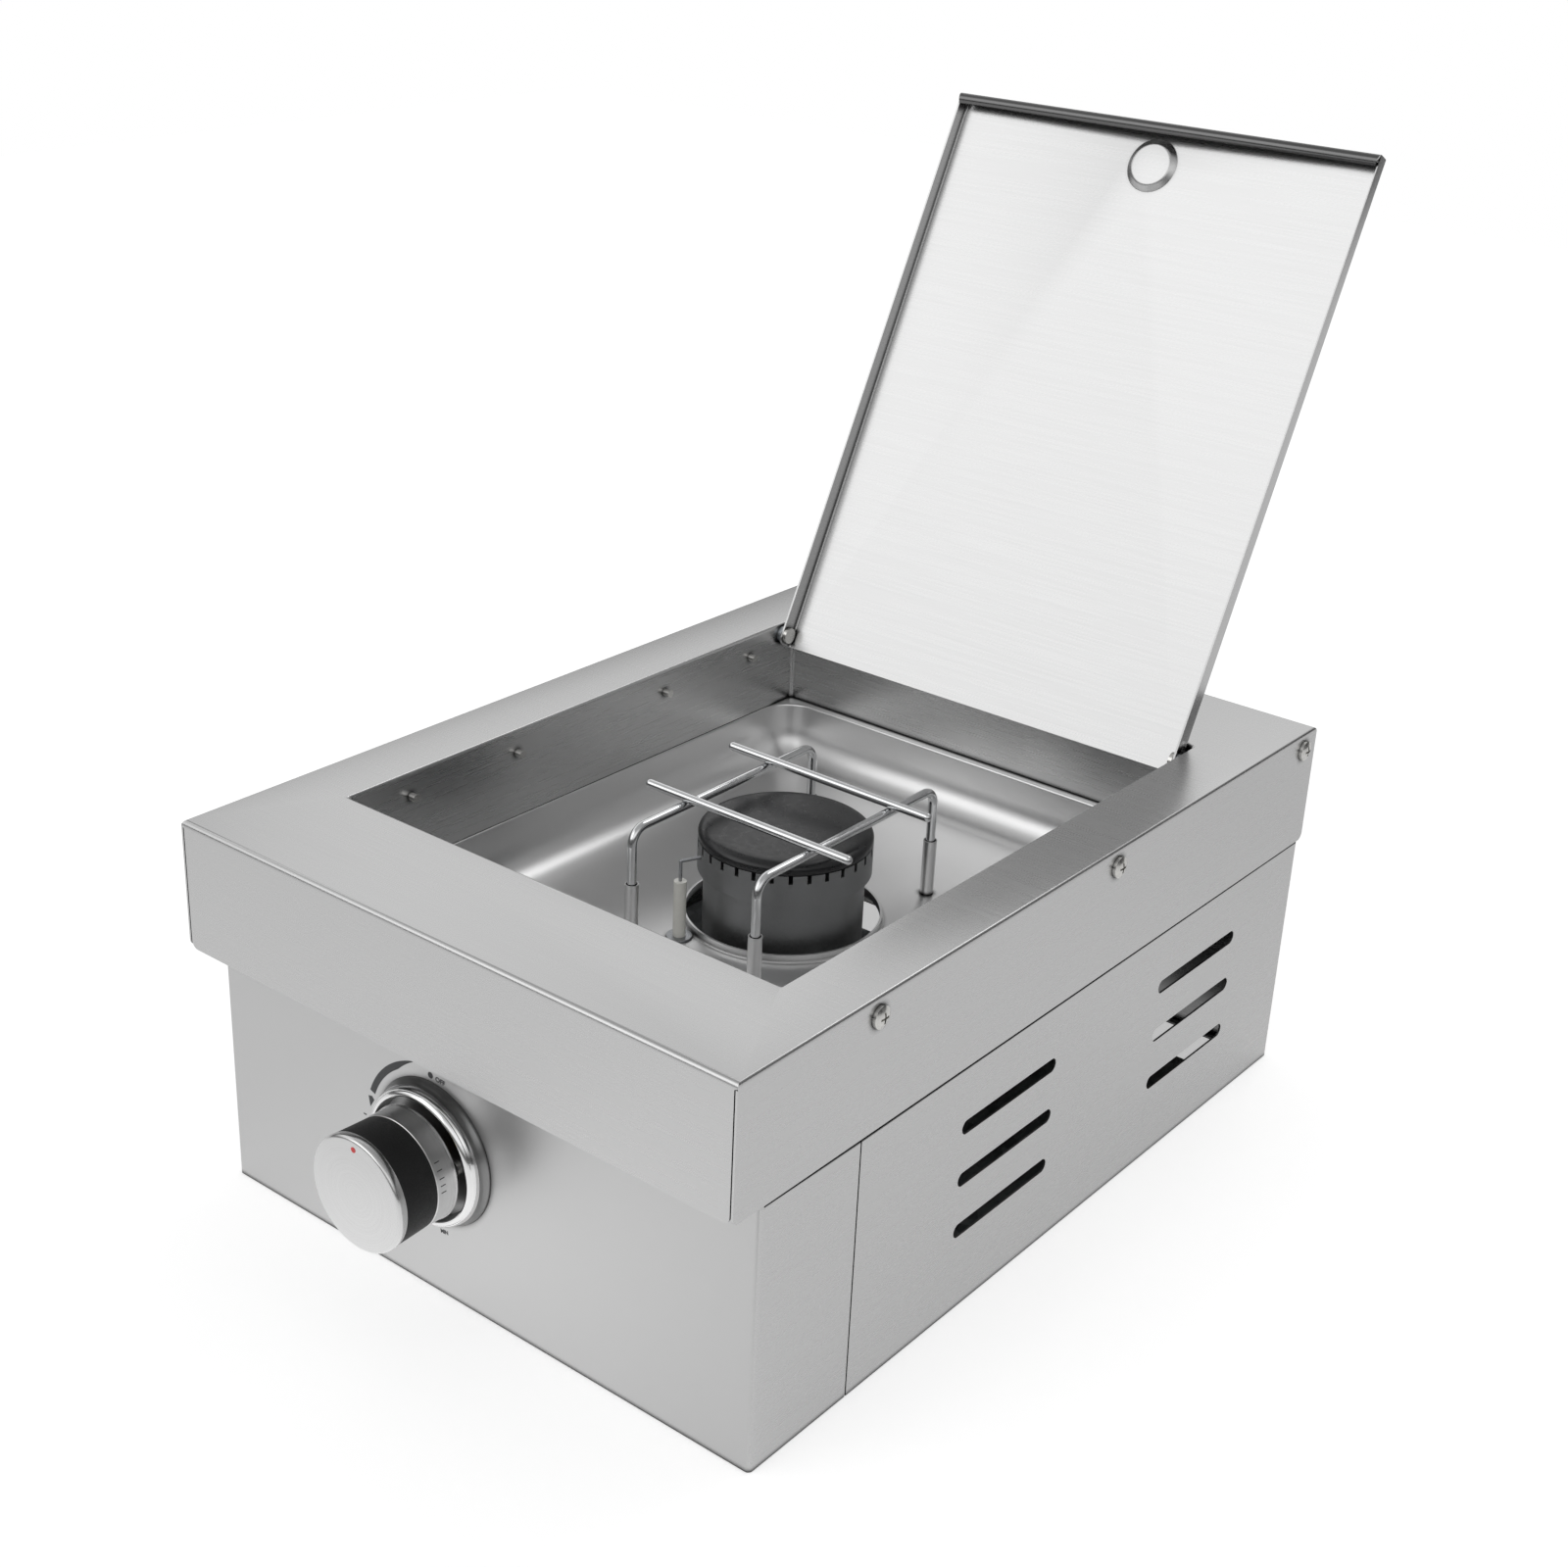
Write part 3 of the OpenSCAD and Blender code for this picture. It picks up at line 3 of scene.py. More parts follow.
import math
import bmesh
import bpy
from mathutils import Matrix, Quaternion, Vector


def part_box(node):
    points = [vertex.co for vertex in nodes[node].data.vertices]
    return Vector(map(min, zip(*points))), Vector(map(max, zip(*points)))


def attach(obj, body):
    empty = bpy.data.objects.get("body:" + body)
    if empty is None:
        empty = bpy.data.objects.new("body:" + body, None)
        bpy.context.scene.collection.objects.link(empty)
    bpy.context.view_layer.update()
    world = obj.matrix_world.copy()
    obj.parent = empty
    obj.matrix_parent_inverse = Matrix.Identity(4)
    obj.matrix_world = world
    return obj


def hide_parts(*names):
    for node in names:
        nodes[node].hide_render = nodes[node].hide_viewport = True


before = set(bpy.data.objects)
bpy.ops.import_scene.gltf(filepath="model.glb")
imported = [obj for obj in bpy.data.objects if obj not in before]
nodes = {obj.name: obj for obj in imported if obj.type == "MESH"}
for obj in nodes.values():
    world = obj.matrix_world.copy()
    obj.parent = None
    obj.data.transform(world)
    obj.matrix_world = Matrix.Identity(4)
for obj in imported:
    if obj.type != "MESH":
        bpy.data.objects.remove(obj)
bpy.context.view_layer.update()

# The camera stands to the right of the stove's front, a little above its lid, and is tilted by
# less than three degrees. Its lens is what the edges of the casing give.
camera_place = Vector((0.5840, -0.7576, 0.6179))
camera_target = Vector((-0.0025, 0.0, 0.1793))
camera_roll = math.radians(2.58)
image_width_px = 1600
focal_length_px = 2332.5
sensor_width_mm = 36.0
camera_data = bpy.data.cameras.new("camera")
camera_data.sensor_width = sensor_width_mm
camera_data.lens = focal_length_px / image_width_px * sensor_width_mm
camera = bpy.data.objects.new("camera", camera_data)
bpy.context.scene.collection.objects.link(camera)
camera.location = camera_place
camera.rotation_mode = "QUATERNION"
level_view = (camera_target - camera_place).to_track_quat("-Z", "Y")
camera.rotation_quaternion = level_view @ Quaternion((0, 0, 1), camera_roll)
bpy.context.scene.camera = camera
bpy.context.scene.view_settings.view_transform = "Standard"

# The studio: a white surround, which the metal reflects darker near the horizon, overhead and to the
# right rear, and a white floor that keeps the stove's soft shadow. The floor glows in a painted pool of
# light, brightest just in front of the stove, for every ray but the camera's, and the camera sees it glow
# evenly.
def colour(text):
    """Linear colour of an sRGB hex value."""
    parts = [int(text[i:i + 2], 16) / 255 for i in (1, 3, 5)]
    return [p / 12.92 if p <= 0.04045 else ((p + 0.055) / 1.055) ** 2.4 for p in parts] + [1.0]


def add(tree, kind, values=None, **settings):
    """Adds a shader node. Values set its inputs: a number, a colour, or another node's output."""
    made = tree.nodes.new("ShaderNode" + kind)
    for name, value in settings.items():
        setattr(made, name, value)
    for name, value in (values or {}).items():
        socket = made.inputs[name]
        if isinstance(value, bpy.types.NodeSocket):
            tree.links.new(value, socket)
        else:
            socket.default_value = value
    return made


def ramp(tree, value, stops):
    """A colour ramp over a value. The stops are places from 0 to 1 with their sRGB shades."""
    made = add(tree, "ValToRGB", {"Fac": value})
    while len(made.color_ramp.elements) < len(stops):
        made.color_ramp.elements.new(0.5)
    for element, (place, shade) in zip(made.color_ramp.elements, stops):
        element.position = place
        element.color = colour(shade)
    return made


surround = bpy.data.worlds.new("studio")
surround.use_nodes = True
bpy.context.scene.world = surround
tree = surround.node_tree
tree.nodes.clear()
heading = add(tree, "TexCoord")
height = add(tree, "SeparateXYZ", {"Vector": heading.outputs["Generated"]})
band_stops = [(0.0, "#727272"), (0.12, "#505050"), (0.3, "#d4d4d4"), (0.42, "#f8f8f8"),
              (0.64, "#ececec"), (0.78, "#b8b8b8"), (0.95, "#aaaaaa")]
band = ramp(tree, height.outputs["Z"], band_stops)
path = add(tree, "LightPath")
seen = add(tree, "Background", {"Color": colour("#ffffff"), "Strength": 1.0})
dark_heading = (0.8, 0.6, 0.0)
right_rear = add(tree, "VectorMath", {0: heading.outputs["Generated"], 1: dark_heading},
                 operation="DOT_PRODUCT")
dark_side = add(tree, "MapRange", {"Value": right_rear.outputs["Value"], "From Min": 0.35,
                                   "From Max": 0.8, "To Min": 1.15, "To Max": 0.4})
mirrored = add(tree, "Background", {"Color": band.outputs["Color"], "Strength": dark_side.outputs[0]})
lighting = add(tree, "Background", {"Color": colour("#ffffff"), "Strength": 0.5})
metal_view = add(tree, "MixShader", {0: path.outputs["Is Glossy Ray"], 1: lighting.outputs[0],
                                     2: mirrored.outputs[0]})
whole_view = add(tree, "MixShader", {0: path.outputs["Is Camera Ray"], 1: metal_view.outputs[0],
                                     2: seen.outputs[0]})
add(tree, "OutputWorld", {"Surface": whole_view.outputs[0]})

# Two soft square lamps, each with its place and size in metres and its power in watts.
lamps = (("key", (-1.35, -2.85, 2.2), 3.0, 18.5),
         ("rear", (0.2, 1.6, 2.3), 1.2, 7.5))
for name, place, size, power in lamps:
    lamp_data = bpy.data.lights.new(name, "AREA")
    lamp_data.shape = "SQUARE"
    lamp_data.size = size
    lamp_data.energy = power
    lamp = bpy.data.objects.new(name, lamp_data)
    bpy.context.scene.collection.objects.link(lamp)
    lamp.location = place
    lamp.rotation_euler = (-lamp.location).to_track_quat("-Z", "Y").to_euler()

floor_size = 5.0
floor_drop = 0.0002
bpy.ops.object.select_all(action="DESELECT")
bpy.ops.mesh.primitive_plane_add(size=floor_size, location=(0, 0, -floor_drop))
floor = bpy.context.active_object
floor.name = "floor"
floor_paint = bpy.data.materials.new("white studio floor")
floor_paint.use_nodes = True
tree = floor_paint.node_tree
tree.nodes.clear()
matt = add(tree, "BsdfDiffuse", {"Color": colour("#fbfbfb")})
path = add(tree, "LightPath")
place = add(tree, "TexCoord")
# Painted light: the floor's glow is a pool, brightest just in front of the stove, which the metal mirrors
# and which lights the stove.
painted_pool_centre = (-0.02, -0.24, 0.0)
distance = add(tree, "VectorMath", {0: place.outputs["Object"], 1: painted_pool_centre}, operation="DISTANCE")
painted_pool_stops = [(0.0, "#d2d2d2"), (0.2, "#989898"), (0.45, "#8b8b8b"), (0.8, "#646464")]
painted_light_pool = ramp(tree, distance.outputs["Value"], painted_pool_stops)
lift = add(tree, "Mix", {0: path.outputs["Is Camera Ray"], 2: painted_light_pool.outputs["Color"], 3: 0.5})
glow = add(tree, "Emission", {"Color": colour("#ffffff"), "Strength": lift.outputs[0]})
both = add(tree, "AddShader", {0: matt.outputs[0], 1: glow.outputs[0]})
add(tree, "OutputMaterial", {"Surface": both.outputs[0]})
floor.data.materials.append(floor_paint)


# Top frame: one stainless sheet, 1 mm thick and brushed. Its skirt is folded down outside, with
# open seams at the corners, and the walls of the cooking well are folded down inside.
def new_material(name):
    """An empty material with a Principled shader: returns the material, its tree and the shader."""
    material = bpy.data.materials.new(name)
    material.use_nodes = True
    tree = material.node_tree
    tree.nodes.clear()
    shader = add(tree, "BsdfPrincipled")
    add(tree, "OutputMaterial", {"Surface": shader.outputs[0]})
    return material, tree, shader


def brushed(name, shade, rough, grain, turn=0.0, depth=0.015):
    """Brushed metal, with painted shade in its seams, creases and corners. The grain is the length in mm
    of a brush line on each axis.
    """
    material, tree, shader = new_material(name)
    shader.inputs["Metallic"].default_value = 1.0
    place = add(tree, "TexCoord")
    lines_at = add(tree, "Mapping", {"Vector": place.outputs["Object"], "Rotation": (turn, 0, 0),
                                     "Scale": tuple(length / 1000 for length in grain)},
                   vector_type="TEXTURE")
    lines = add(tree, "TexNoise", {"Vector": lines_at.outputs[0], "Scale": 1.0, "Detail": 3.0,
                                   "Roughness": 0.6})
    cloud_size = 90
    clouds = add(tree, "TexNoise", {"Vector": place.outputs["Object"], "Scale": 1000 / cloud_size,
                                    "Detail": 2.0})
    plain = colour(shade)
    pale = [min(1.0, part * 1.01) for part in plain[:3]] + [1.0]
    deep = [part * 0.985 for part in plain[:3]] + [1.0]
    tone = add(tree, "MapRange", {"Value": lines.outputs[0], "From Min": 0.3, "From Max": 0.7})
    streaks = add(tree, "Mix", {"Factor": tone.outputs[0], "A": deep, "B": pale}, data_type="RGBA")
    shades = add(tree, "Mix", {"Factor": clouds.outputs[0], "A": streaks.outputs["Result"], "B": plain},
                 data_type="RGBA")
    # Painted shade: ambient occlusion darkens the base colour in seams, creases and corners, where shade
    # falls.
    painted_seam_shade = add(tree, "AmbientOcclusion", {"Distance": painted_shade_reach}, samples=8)
    seams = add(tree, "MapRange", {"Value": painted_seam_shade.outputs["AO"], "From Min": 0.58, "From Max": 0.95,
                                   "To Min": 0.05, "To Max": 1.0})
    colour_with_painted_shade = add(tree, "Mix", {"Factor": 1.0, "A": shades.outputs["Result"], "B": seams.outputs[0]},
                 data_type="RGBA", blend_type="MULTIPLY")
    tree.links.new(colour_with_painted_shade.outputs["Result"], shader.inputs["Base Color"])
    rub = add(tree, "MapRange", {"Value": lines.outputs[0], "From Min": 0.3, "From Max": 0.7,
                                 "To Min": rough - 0.02, "To Max": rough + 0.02})
    tree.links.new(rub.outputs[0], shader.inputs["Roughness"])
    bump = add(tree, "Bump", {"Height": lines.outputs[0], "Strength": depth, "Distance": 0.00003})
    tree.links.new(bump.outputs[0], shader.inputs["Normal"])
    return material


def start_box(name, low, high):
    """A cube primitive between two corners, with its object at the origin."""
    bpy.ops.object.select_all(action="DESELECT")
    low, high = Vector(low), Vector(high)
    bpy.ops.mesh.primitive_cube_add(size=1, location=(low + high) / 2)
    piece = bpy.context.active_object
    piece.name = name
    piece.scale = high - low
    bpy.ops.object.transform_apply(location=True, rotation=True, scale=True)
    return piece


def pick(piece, kind, test):
    """Goes into edit mode and selects the faces, edges or vertices whose middle passes the test."""
    if bpy.context.mode != "EDIT_MESH":
        bpy.ops.object.select_all(action="DESELECT")
        piece.select_set(True)
        bpy.context.view_layer.objects.active = piece
        bpy.ops.object.mode_set(mode="EDIT")
    bpy.ops.mesh.select_mode(type=kind)
    bpy.ops.mesh.select_all(action="DESELECT")
    shape = bmesh.from_edit_mesh(piece.data)
    shape.normal_update()
    items = {"FACE": shape.faces, "EDGE": shape.edges, "VERT": shape.verts}[kind]
    for item in items:
        corners = [item.co] if kind == "VERT" else [v.co for v in item.verts]
        middle = sum(corners, Vector()) / len(corners)
        if test(middle, item):
            item.select_set(True)
    shape.select_flush_mode()
    bmesh.update_edit_mesh(piece.data)


def bend(piece, radius, test, segments=6):
    """Rounds the edges that pass the test, as a folded sheet is round at its bends."""
    pick(piece, "EDGE", test)
    bpy.ops.mesh.bevel(offset=radius, segments=segments, affect="EDGES")
    bpy.ops.mesh.select_all(action="DESELECT")


def cut_away(piece, cutter):
    """Takes a solid's shape out of a piece, and removes the solid."""
    if bpy.context.mode != "OBJECT":
        bpy.ops.object.mode_set(mode="OBJECT")
    bpy.ops.object.select_all(action="DESELECT")
    bpy.context.view_layer.objects.active = piece
    cut = piece.modifiers.new("cut", "BOOLEAN")
    cut.object = cutter
    bpy.ops.object.modifier_apply(modifier=cut.name)
    bpy.data.objects.remove(cutter)


def thicken(piece, thickness):
    """Turns a surface into a sheet: the surface is its outside, and the sheet lies inside it."""
    bpy.ops.object.mode_set(mode="OBJECT")
    wall = piece.modifiers.new("wall", "SOLIDIFY")
    wall.thickness = thickness
    wall.offset = -1.0
    wall.use_even_offset = True
    bpy.ops.object.modifier_apply(modifier=wall.name)


def near(a, b, slack=1e-5):
    """Whether two lengths are the same, within a hundredth of a millimetre."""
    return abs(a - b) < slack


def put(piece, body, slot, *replaced):
    """Shades a finished piece, ties it to its body and hides the CAD nodes it stands for. The slot, which
    names its finish, is not used.
    """
    if bpy.context.mode != "OBJECT":
        bpy.ops.object.mode_set(mode="OBJECT")
    bpy.ops.object.select_all(action="DESELECT")
    piece.select_set(True)
    bpy.context.view_layer.objects.active = piece
    bpy.ops.object.shade_smooth_by_angle(angle=math.radians(32))
    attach(piece, body)
    if replaced:
        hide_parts(*replaced)


def grain_by_face(piece, cross, along):
    """Gives the faces that look sideways one grain, and all the others another."""
    piece.data.materials.append(cross)
    piece.data.materials.append(along)
    pick(piece, "FACE", lambda middle, face: abs(face.normal.x) > 0.7)
    piece.active_material_index = 1
    bpy.ops.object.material_slot_assign()
    bpy.ops.object.mode_set(mode="OBJECT")


# Reach in metres of the painted shade in seams and corners.
painted_shade_reach = 0.003
cross_grain = brushed("stainless sheet brushed across", "#c6c6c6", 0.28, (60, 0.9, 0.9))
long_grain = brushed("stainless sheet brushed lengthwise", "#c6c6c6", 0.28, (0.9, 60, 0.9))

sheet = 0.001
bend_r = 0.0022
low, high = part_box("top_frame")
well_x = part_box("tray_hanger_right")[0].x - sheet
well_y = 0.157
well_corner_r = 0.0025
well_wall_h = 0.045
skirt_h = high.z - low.z
seam = 0.0016
seam_top = 0.003
skirt_corner_r = 0.0035
top = start_box("top_frame_sheet", (low.x, low.y, high.z - sheet), high)
pick(top, "FACE", lambda middle, face: face.normal.z < 0.5)
bpy.ops.mesh.delete(type="ONLY_FACE")
pick(top, "VERT", lambda middle, vert: vert.co.z < high.z - sheet / 2)
bpy.ops.mesh.delete(type="VERT")
pick(top, "FACE", lambda middle, face: True)
bpy.ops.mesh.inset(thickness=high.x - well_x)
bpy.ops.transform.resize(value=(1, well_y / (high.y - high.x + well_x), 1))
bpy.ops.mesh.extrude_region_move(TRANSFORM_OT_translate={"value": (0, 0, -well_wall_h)})
bpy.ops.mesh.delete(type="ONLY_FACE")
bend(top, well_corner_r, lambda middle, edge: middle.z < high.z - sheet and abs(middle.x) > sheet
     and abs(middle.y) > sheet and abs(middle.x) < high.x - sheet)
for axis, side in (("y", -1), ("y", 1), ("x", -1), ("x", 1)):
    edge_at = side * getattr(high, axis)
    pick(top, "EDGE", lambda middle, edge: near(getattr(middle, axis), edge_at)
         and near(middle.z, high.z))
    bpy.ops.mesh.extrude_region_move(TRANSFORM_OT_translate={"value": (0, 0, -seam_top)})
    if axis == "y":
        bpy.ops.transform.resize(value=((high.x - seam) / high.x, 1, 1))
    bpy.ops.mesh.extrude_region_move(TRANSFORM_OT_translate={"value": (0, 0, seam_top - skirt_h)})
    pick(top, "VERT", lambda middle, vert: near(middle.z, low.z)
         and near(getattr(middle, axis), edge_at))
    bpy.ops.mesh.bevel(offset=skirt_corner_r, segments=5, affect="VERTICES")
bend(top, bend_r, lambda middle, edge: near(edge.verts[0].co.z, high.z)
     and near(edge.verts[1].co.z, high.z) and edge.calc_face_angle(0) > 1)
thicken(top, sheet)
grain_by_face(top, cross_grain, long_grain)
put(top, "stove", "stainless_sheet", "top_frame")


# Front panel: one stainless sheet whose side returns go round the front corners. A lap strip behind each
# return closes the seam to the side panel, and a flange at the foot lies on the base. A shallow groove
# under the skirt's edge, with painted seam shade in it, gives the dark line between the skirt and the
# return.
low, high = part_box("front_panel")
flange_w = 0.012
return_l = 0.0615
lap_w = 0.0295
lap_h = 0.180
return_end = low.y + return_l
groove_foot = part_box("top_frame")[0].z - 0.0019
groove_w = 0.0035
groove_depth = 0.0007
groove_lip_r = 0.0006
panel = start_box("front_panel_sheet", low, (high.x, return_end, high.z))
pick(panel, "FACE", lambda middle, face: face.normal.y > 0.5 or abs(face.normal.z) > 0.5)
bpy.ops.mesh.delete(type="ONLY_FACE")
pick(panel, "EDGE", lambda middle, edge: near(middle.y, low.y) and near(middle.z, high.z))
bpy.ops.mesh.extrude_region_move(TRANSFORM_OT_translate={"value": (0, flange_w, 0)})
pick(panel, "EDGE", lambda middle, edge: near(middle.y, return_end) and abs(middle.x) < sheet)
bpy.ops.mesh.delete(type="EDGE")
bend(panel, bend_r, lambda middle, edge: near(edge.verts[0].co.y, low.y)
     and near(edge.verts[1].co.y, low.y))
thicken(panel, sheet)
for end in (-1, 1):
    cut_away(panel, start_box("groove", (end * high.x - groove_depth, low.y + bend_r, groove_foot),
                              (end * high.x + groove_depth, return_end + sheet, groove_foot + groove_w)))
bend(panel, groove_lip_r, lambda middle, edge: near(middle.z, groove_foot)
     and near(abs(middle.x), high.x), segments=3)
bpy.ops.object.mode_set(mode="OBJECT")
bpy.ops.object.select_all(action="DESELECT")
strips = [start_box("lap_strip", (side * (high.x - 1.5 * sheet) - sheet / 2, high.y - lap_w, sheet * 4),
                    (side * (high.x - 1.5 * sheet) + sheet / 2, high.y, sheet * 4 + lap_h))
          for side in (-1, 1)]
strips.append(start_box("foot_flange", (sheet - high.x, low.y + sheet, sheet),
                        (high.x - sheet, low.y + flange_w, 2 * sheet)))
for strip in strips:
    strip.select_set(True)
panel.select_set(True)
bpy.context.view_layer.objects.active = panel
bpy.ops.object.join()
front_grain = brushed("stainless front brushed finer", "#c6c6c6", 0.38, (60, 0.6, 0.6))
grain_by_face(panel, front_grain, long_grain)
put(panel, "stove", "stainless_sheet", "front_panel")


# Side panels: a sheet with two groups of three punched vent slots, a flange down its rear edge
# and a flange on the base. The groove under the skirt's edge goes on along it. The left one is the
# right one's mirror image.
low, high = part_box("side_panel_right")
slot_l = 0.072
slot_w = 0.007
slot_pitch = 0.0262
slot_mid_z = 0.0679
slot_places = (-0.0345, 0.126)
slot_rows = 3
flange_x = high.x - flange_w
side = start_box("side_panel_sheet_right", (flange_x, low.y, 0), (high.x, high.y, high.z))
pick(side, "FACE", lambda middle, face: face.normal.x < -0.5 or face.normal.y < -0.5
     or abs(face.normal.z) > 0.5)
bpy.ops.mesh.delete(type="ONLY_FACE")
pick(side, "EDGE", lambda middle, edge: not edge.link_faces)
bpy.ops.mesh.delete(type="EDGE")
bend(side, bend_r, lambda middle, edge: near(middle.x, high.x) and near(middle.y, high.y)
     and not near(edge.verts[0].co.z, edge.verts[1].co.z))
thicken(side, sheet)
cut_away(side, start_box("groove", (high.x - groove_depth, low.y - sheet, groove_foot),
                         (high.x + sheet, high.y - bend_r, groove_foot + groove_w)))
bend(side, groove_lip_r, lambda middle, edge: near(middle.z, groove_foot) and near(middle.x, high.x),
     segments=3)
bpy.ops.object.mode_set(mode="OBJECT")
foot = start_box("foot_flange", (flange_x, low.y + 2 * sheet, sheet),
                 (high.x - sheet, high.y - 3 * sheet, 2 * sheet))
foot.select_set(True)
side.select_set(True)
bpy.context.view_layer.objects.active = side
bpy.ops.object.join()
bpy.ops.object.select_all(action="DESELECT")
for slot_y in slot_places:
    for row in range(slot_rows):
        slot_z = slot_mid_z + (row - (slot_rows - 1) / 2) * slot_pitch
        bpy.ops.object.select_all(action="DESELECT")
        bpy.ops.mesh.primitive_cylinder_add(vertices=32, radius=slot_w / 2, depth=4 * sheet,
                                            location=(high.x, slot_y, slot_z),
                                            rotation=(0, math.pi / 2, 0))
        punch = bpy.context.active_object
        bpy.ops.object.transform_apply(location=True, rotation=True, scale=True)
        for end in (-1, 1):
            pick(punch, "VERT", lambda middle, vert: end * (middle.y - slot_y) > sheet / 10)
            bpy.ops.transform.translate(value=(0, end * (slot_l - slot_w) / 2, 0))
        cut_away(side, punch)
bpy.ops.object.select_all(action="DESELECT")
side.select_set(True)
bpy.context.view_layer.objects.active = side
side.data.materials.append(long_grain)
bpy.ops.object.duplicate()
other = bpy.context.active_object
other.name = "side_panel_sheet_left"
other.scale = (-1, 1, 1)
bpy.ops.object.transform_apply(location=True, rotation=True, scale=True)
pick(other, "FACE", lambda middle, face: True)
bpy.ops.mesh.normals_make_consistent(inside=False)
put(side, "stove", "stainless_sheet", "side_panel_right")
put(other, "stove", "stainless_sheet", "side_panel_left")


# Rear panel: a plain stainless sheet, screwed to the side panels' rear flanges.
def dress(names, material):
    """Gives CAD nodes a finish, in every material slot they have."""
    for name in names:
        for slot in nodes[name].material_slots:
            slot.material = material


dress(["rear_panel"], cross_grain)


# Base plate, tray hangers, burner bracket and air shutter: galvanised sheet, cut and folded. The
# zinc crystals give it flat grey patches, each a little lighter or darker than the next.
zinc, tree, shader = new_material("galvanised sheet with its zinc crystals")
place = add(tree, "TexCoord")
crystal_size = 7 / 1000
crystals = add(tree, "TexVoronoi", {"Vector": place.outputs["Object"], "Scale": 1 / crystal_size})
crystal_shade = add(tree, "SeparateXYZ", {"Vector": crystals.outputs["Color"]})
patches = add(tree, "Mix", {"Factor": crystal_shade.outputs["X"], "A": colour("#9ea2a5"),
                            "B": colour("#bcc0c2")}, data_type="RGBA")
gloss = add(tree, "MapRange", {"Value": crystal_shade.outputs["Y"], "To Min": 0.34, "To Max": 0.5})
tree.links.new(patches.outputs["Result"], shader.inputs["Base Color"])
tree.links.new(gloss.outputs[0], shader.inputs["Roughness"])
shader.inputs["Metallic"].default_value = 1.0
dress(["base_plate", "tray_hanger_left", "tray_hanger_right", "burner_bracket", "air_shutter"], zinc)


# Screws, lid rests and hinge pins: steel, nickel-plated to a warm bright grey. Nuts and spacers:
# steel, zinc-plated, which is duller and a little blue.
def finish(name, shade, rough, metal, speck, depth, spread=0.06):
    """A finish with specks of a size in mm, which vary its colour and gloss and raise its surface."""
    material, tree, shader = new_material(name)
    shader.inputs["Metallic"].default_value = metal
    place = add(tree, "TexCoord")
    specks = add(tree, "TexNoise", {"Vector": place.outputs["Object"], "Scale": 1000 / speck,
                                    "Detail": 3.0})
    plain = colour(shade)
    deep = [part * (1 - spread) for part in plain[:3]] + [1.0]
    pale = [min(1.0, part * (1 + spread)) for part in plain[:3]] + [1.0]
    tone = add(tree, "MapRange", {"Value": specks.outputs[0], "From Min": 0.35, "From Max": 0.65})
    shades = add(tree, "Mix", {"Factor": tone.outputs[0], "A": deep, "B": pale}, data_type="RGBA")
    rub = add(tree, "MapRange", {"Value": specks.outputs[0], "From Min": 0.35, "From Max": 0.65,
                                 "To Min": rough * 0.85, "To Max": rough * 1.15})
    bump = add(tree, "Bump", {"Height": specks.outputs[0], "Strength": 1.0, "Distance": depth / 1000})
    tree.links.new(shades.outputs["Result"], shader.inputs["Base Color"])
    tree.links.new(rub.outputs[0], shader.inputs["Roughness"])
    tree.links.new(bump.outputs[0], shader.inputs["Normal"])
    return material


dress(["skirt_screws", "rear_screws", "base_screws", "lid_rest_screws", "tray_screws", "burner_screws",
       "valve_screws", "hinge_pins"], finish("nickel-plated steel", "#d4d3d0", 0.24, 1.0, 1.5, 0.004))
dress(["skirt_nuts", "rear_nuts", "base_nuts", "tray_nuts", "hinge_nuts", "hinge_spacers"],
      finish("zinc-plated steel", "#b4b9bd", 0.36, 1.0, 1.0, 0.01))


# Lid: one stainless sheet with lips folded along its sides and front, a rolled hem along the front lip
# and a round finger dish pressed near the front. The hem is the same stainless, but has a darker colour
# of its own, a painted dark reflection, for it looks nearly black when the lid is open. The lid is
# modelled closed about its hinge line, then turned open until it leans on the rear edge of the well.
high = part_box("lid_panel")[1]
hinge = Vector((0, 0.1472, 0.181))
lid_open = math.radians(116.2)
lid_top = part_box("top_frame")[1].z - hinge.z
lid_foot = lid_top - 0.010
lid_front = -0.3
lid_rear = 0.0056
hem_roll = [(0.0006, -0.0011), (0.0010, -0.0006), (0.0012, -0.0002), (0.0012, 0.0002), (0.0010, 0.0006),
            (0.0006, 0.0011)]
painted_dark_hem_reach = 0.0062
hem_inset = 0.0002
lip_corner_r = 0.004
dish_r = 0.0132
dish_floor_r = 0.0103
dish_deep = 0.0024
dish_edge_r = 0.0006
dish_y = lid_front + 0.020
lid = start_box("lid_sheet", (-high.x, lid_front, lid_foot), (high.x, lid_rear, lid_top))
pick(lid, "FACE", lambda middle, face: face.normal.z < -0.5 or face.normal.y > 0.5)
bpy.ops.mesh.delete(type="ONLY_FACE")
pick(lid, "EDGE", lambda middle, edge: not edge.link_faces)
bpy.ops.mesh.delete(type="EDGE")
pick(lid, "VERT", lambda middle, vert: near(middle.z, lid_foot) and near(middle.y, lid_rear))
bpy.ops.mesh.bevel(offset=lip_corner_r, segments=6, affect="VERTICES")
bend(lid, bend_r, lambda middle, edge: near(edge.verts[0].co.z, lid_top)
     and near(edge.verts[1].co.z, lid_top) and len(edge.link_faces) == 2 and edge.calc_face_angle(0) > 1)
pick(lid, "EDGE", lambda middle, edge: near(middle.z, lid_foot) and near(middle.y, lid_front))
bpy.ops.transform.translate(value=(0, 0, -sum(min(rise, 0) for step, rise in hem_roll)))
for step, rise in hem_roll:
    bpy.ops.mesh.extrude_region_move(TRANSFORM_OT_translate={"value": (0, step, rise)})
    bpy.ops.transform.resize(value=((high.x - hem_inset) / high.x, 1, 1))
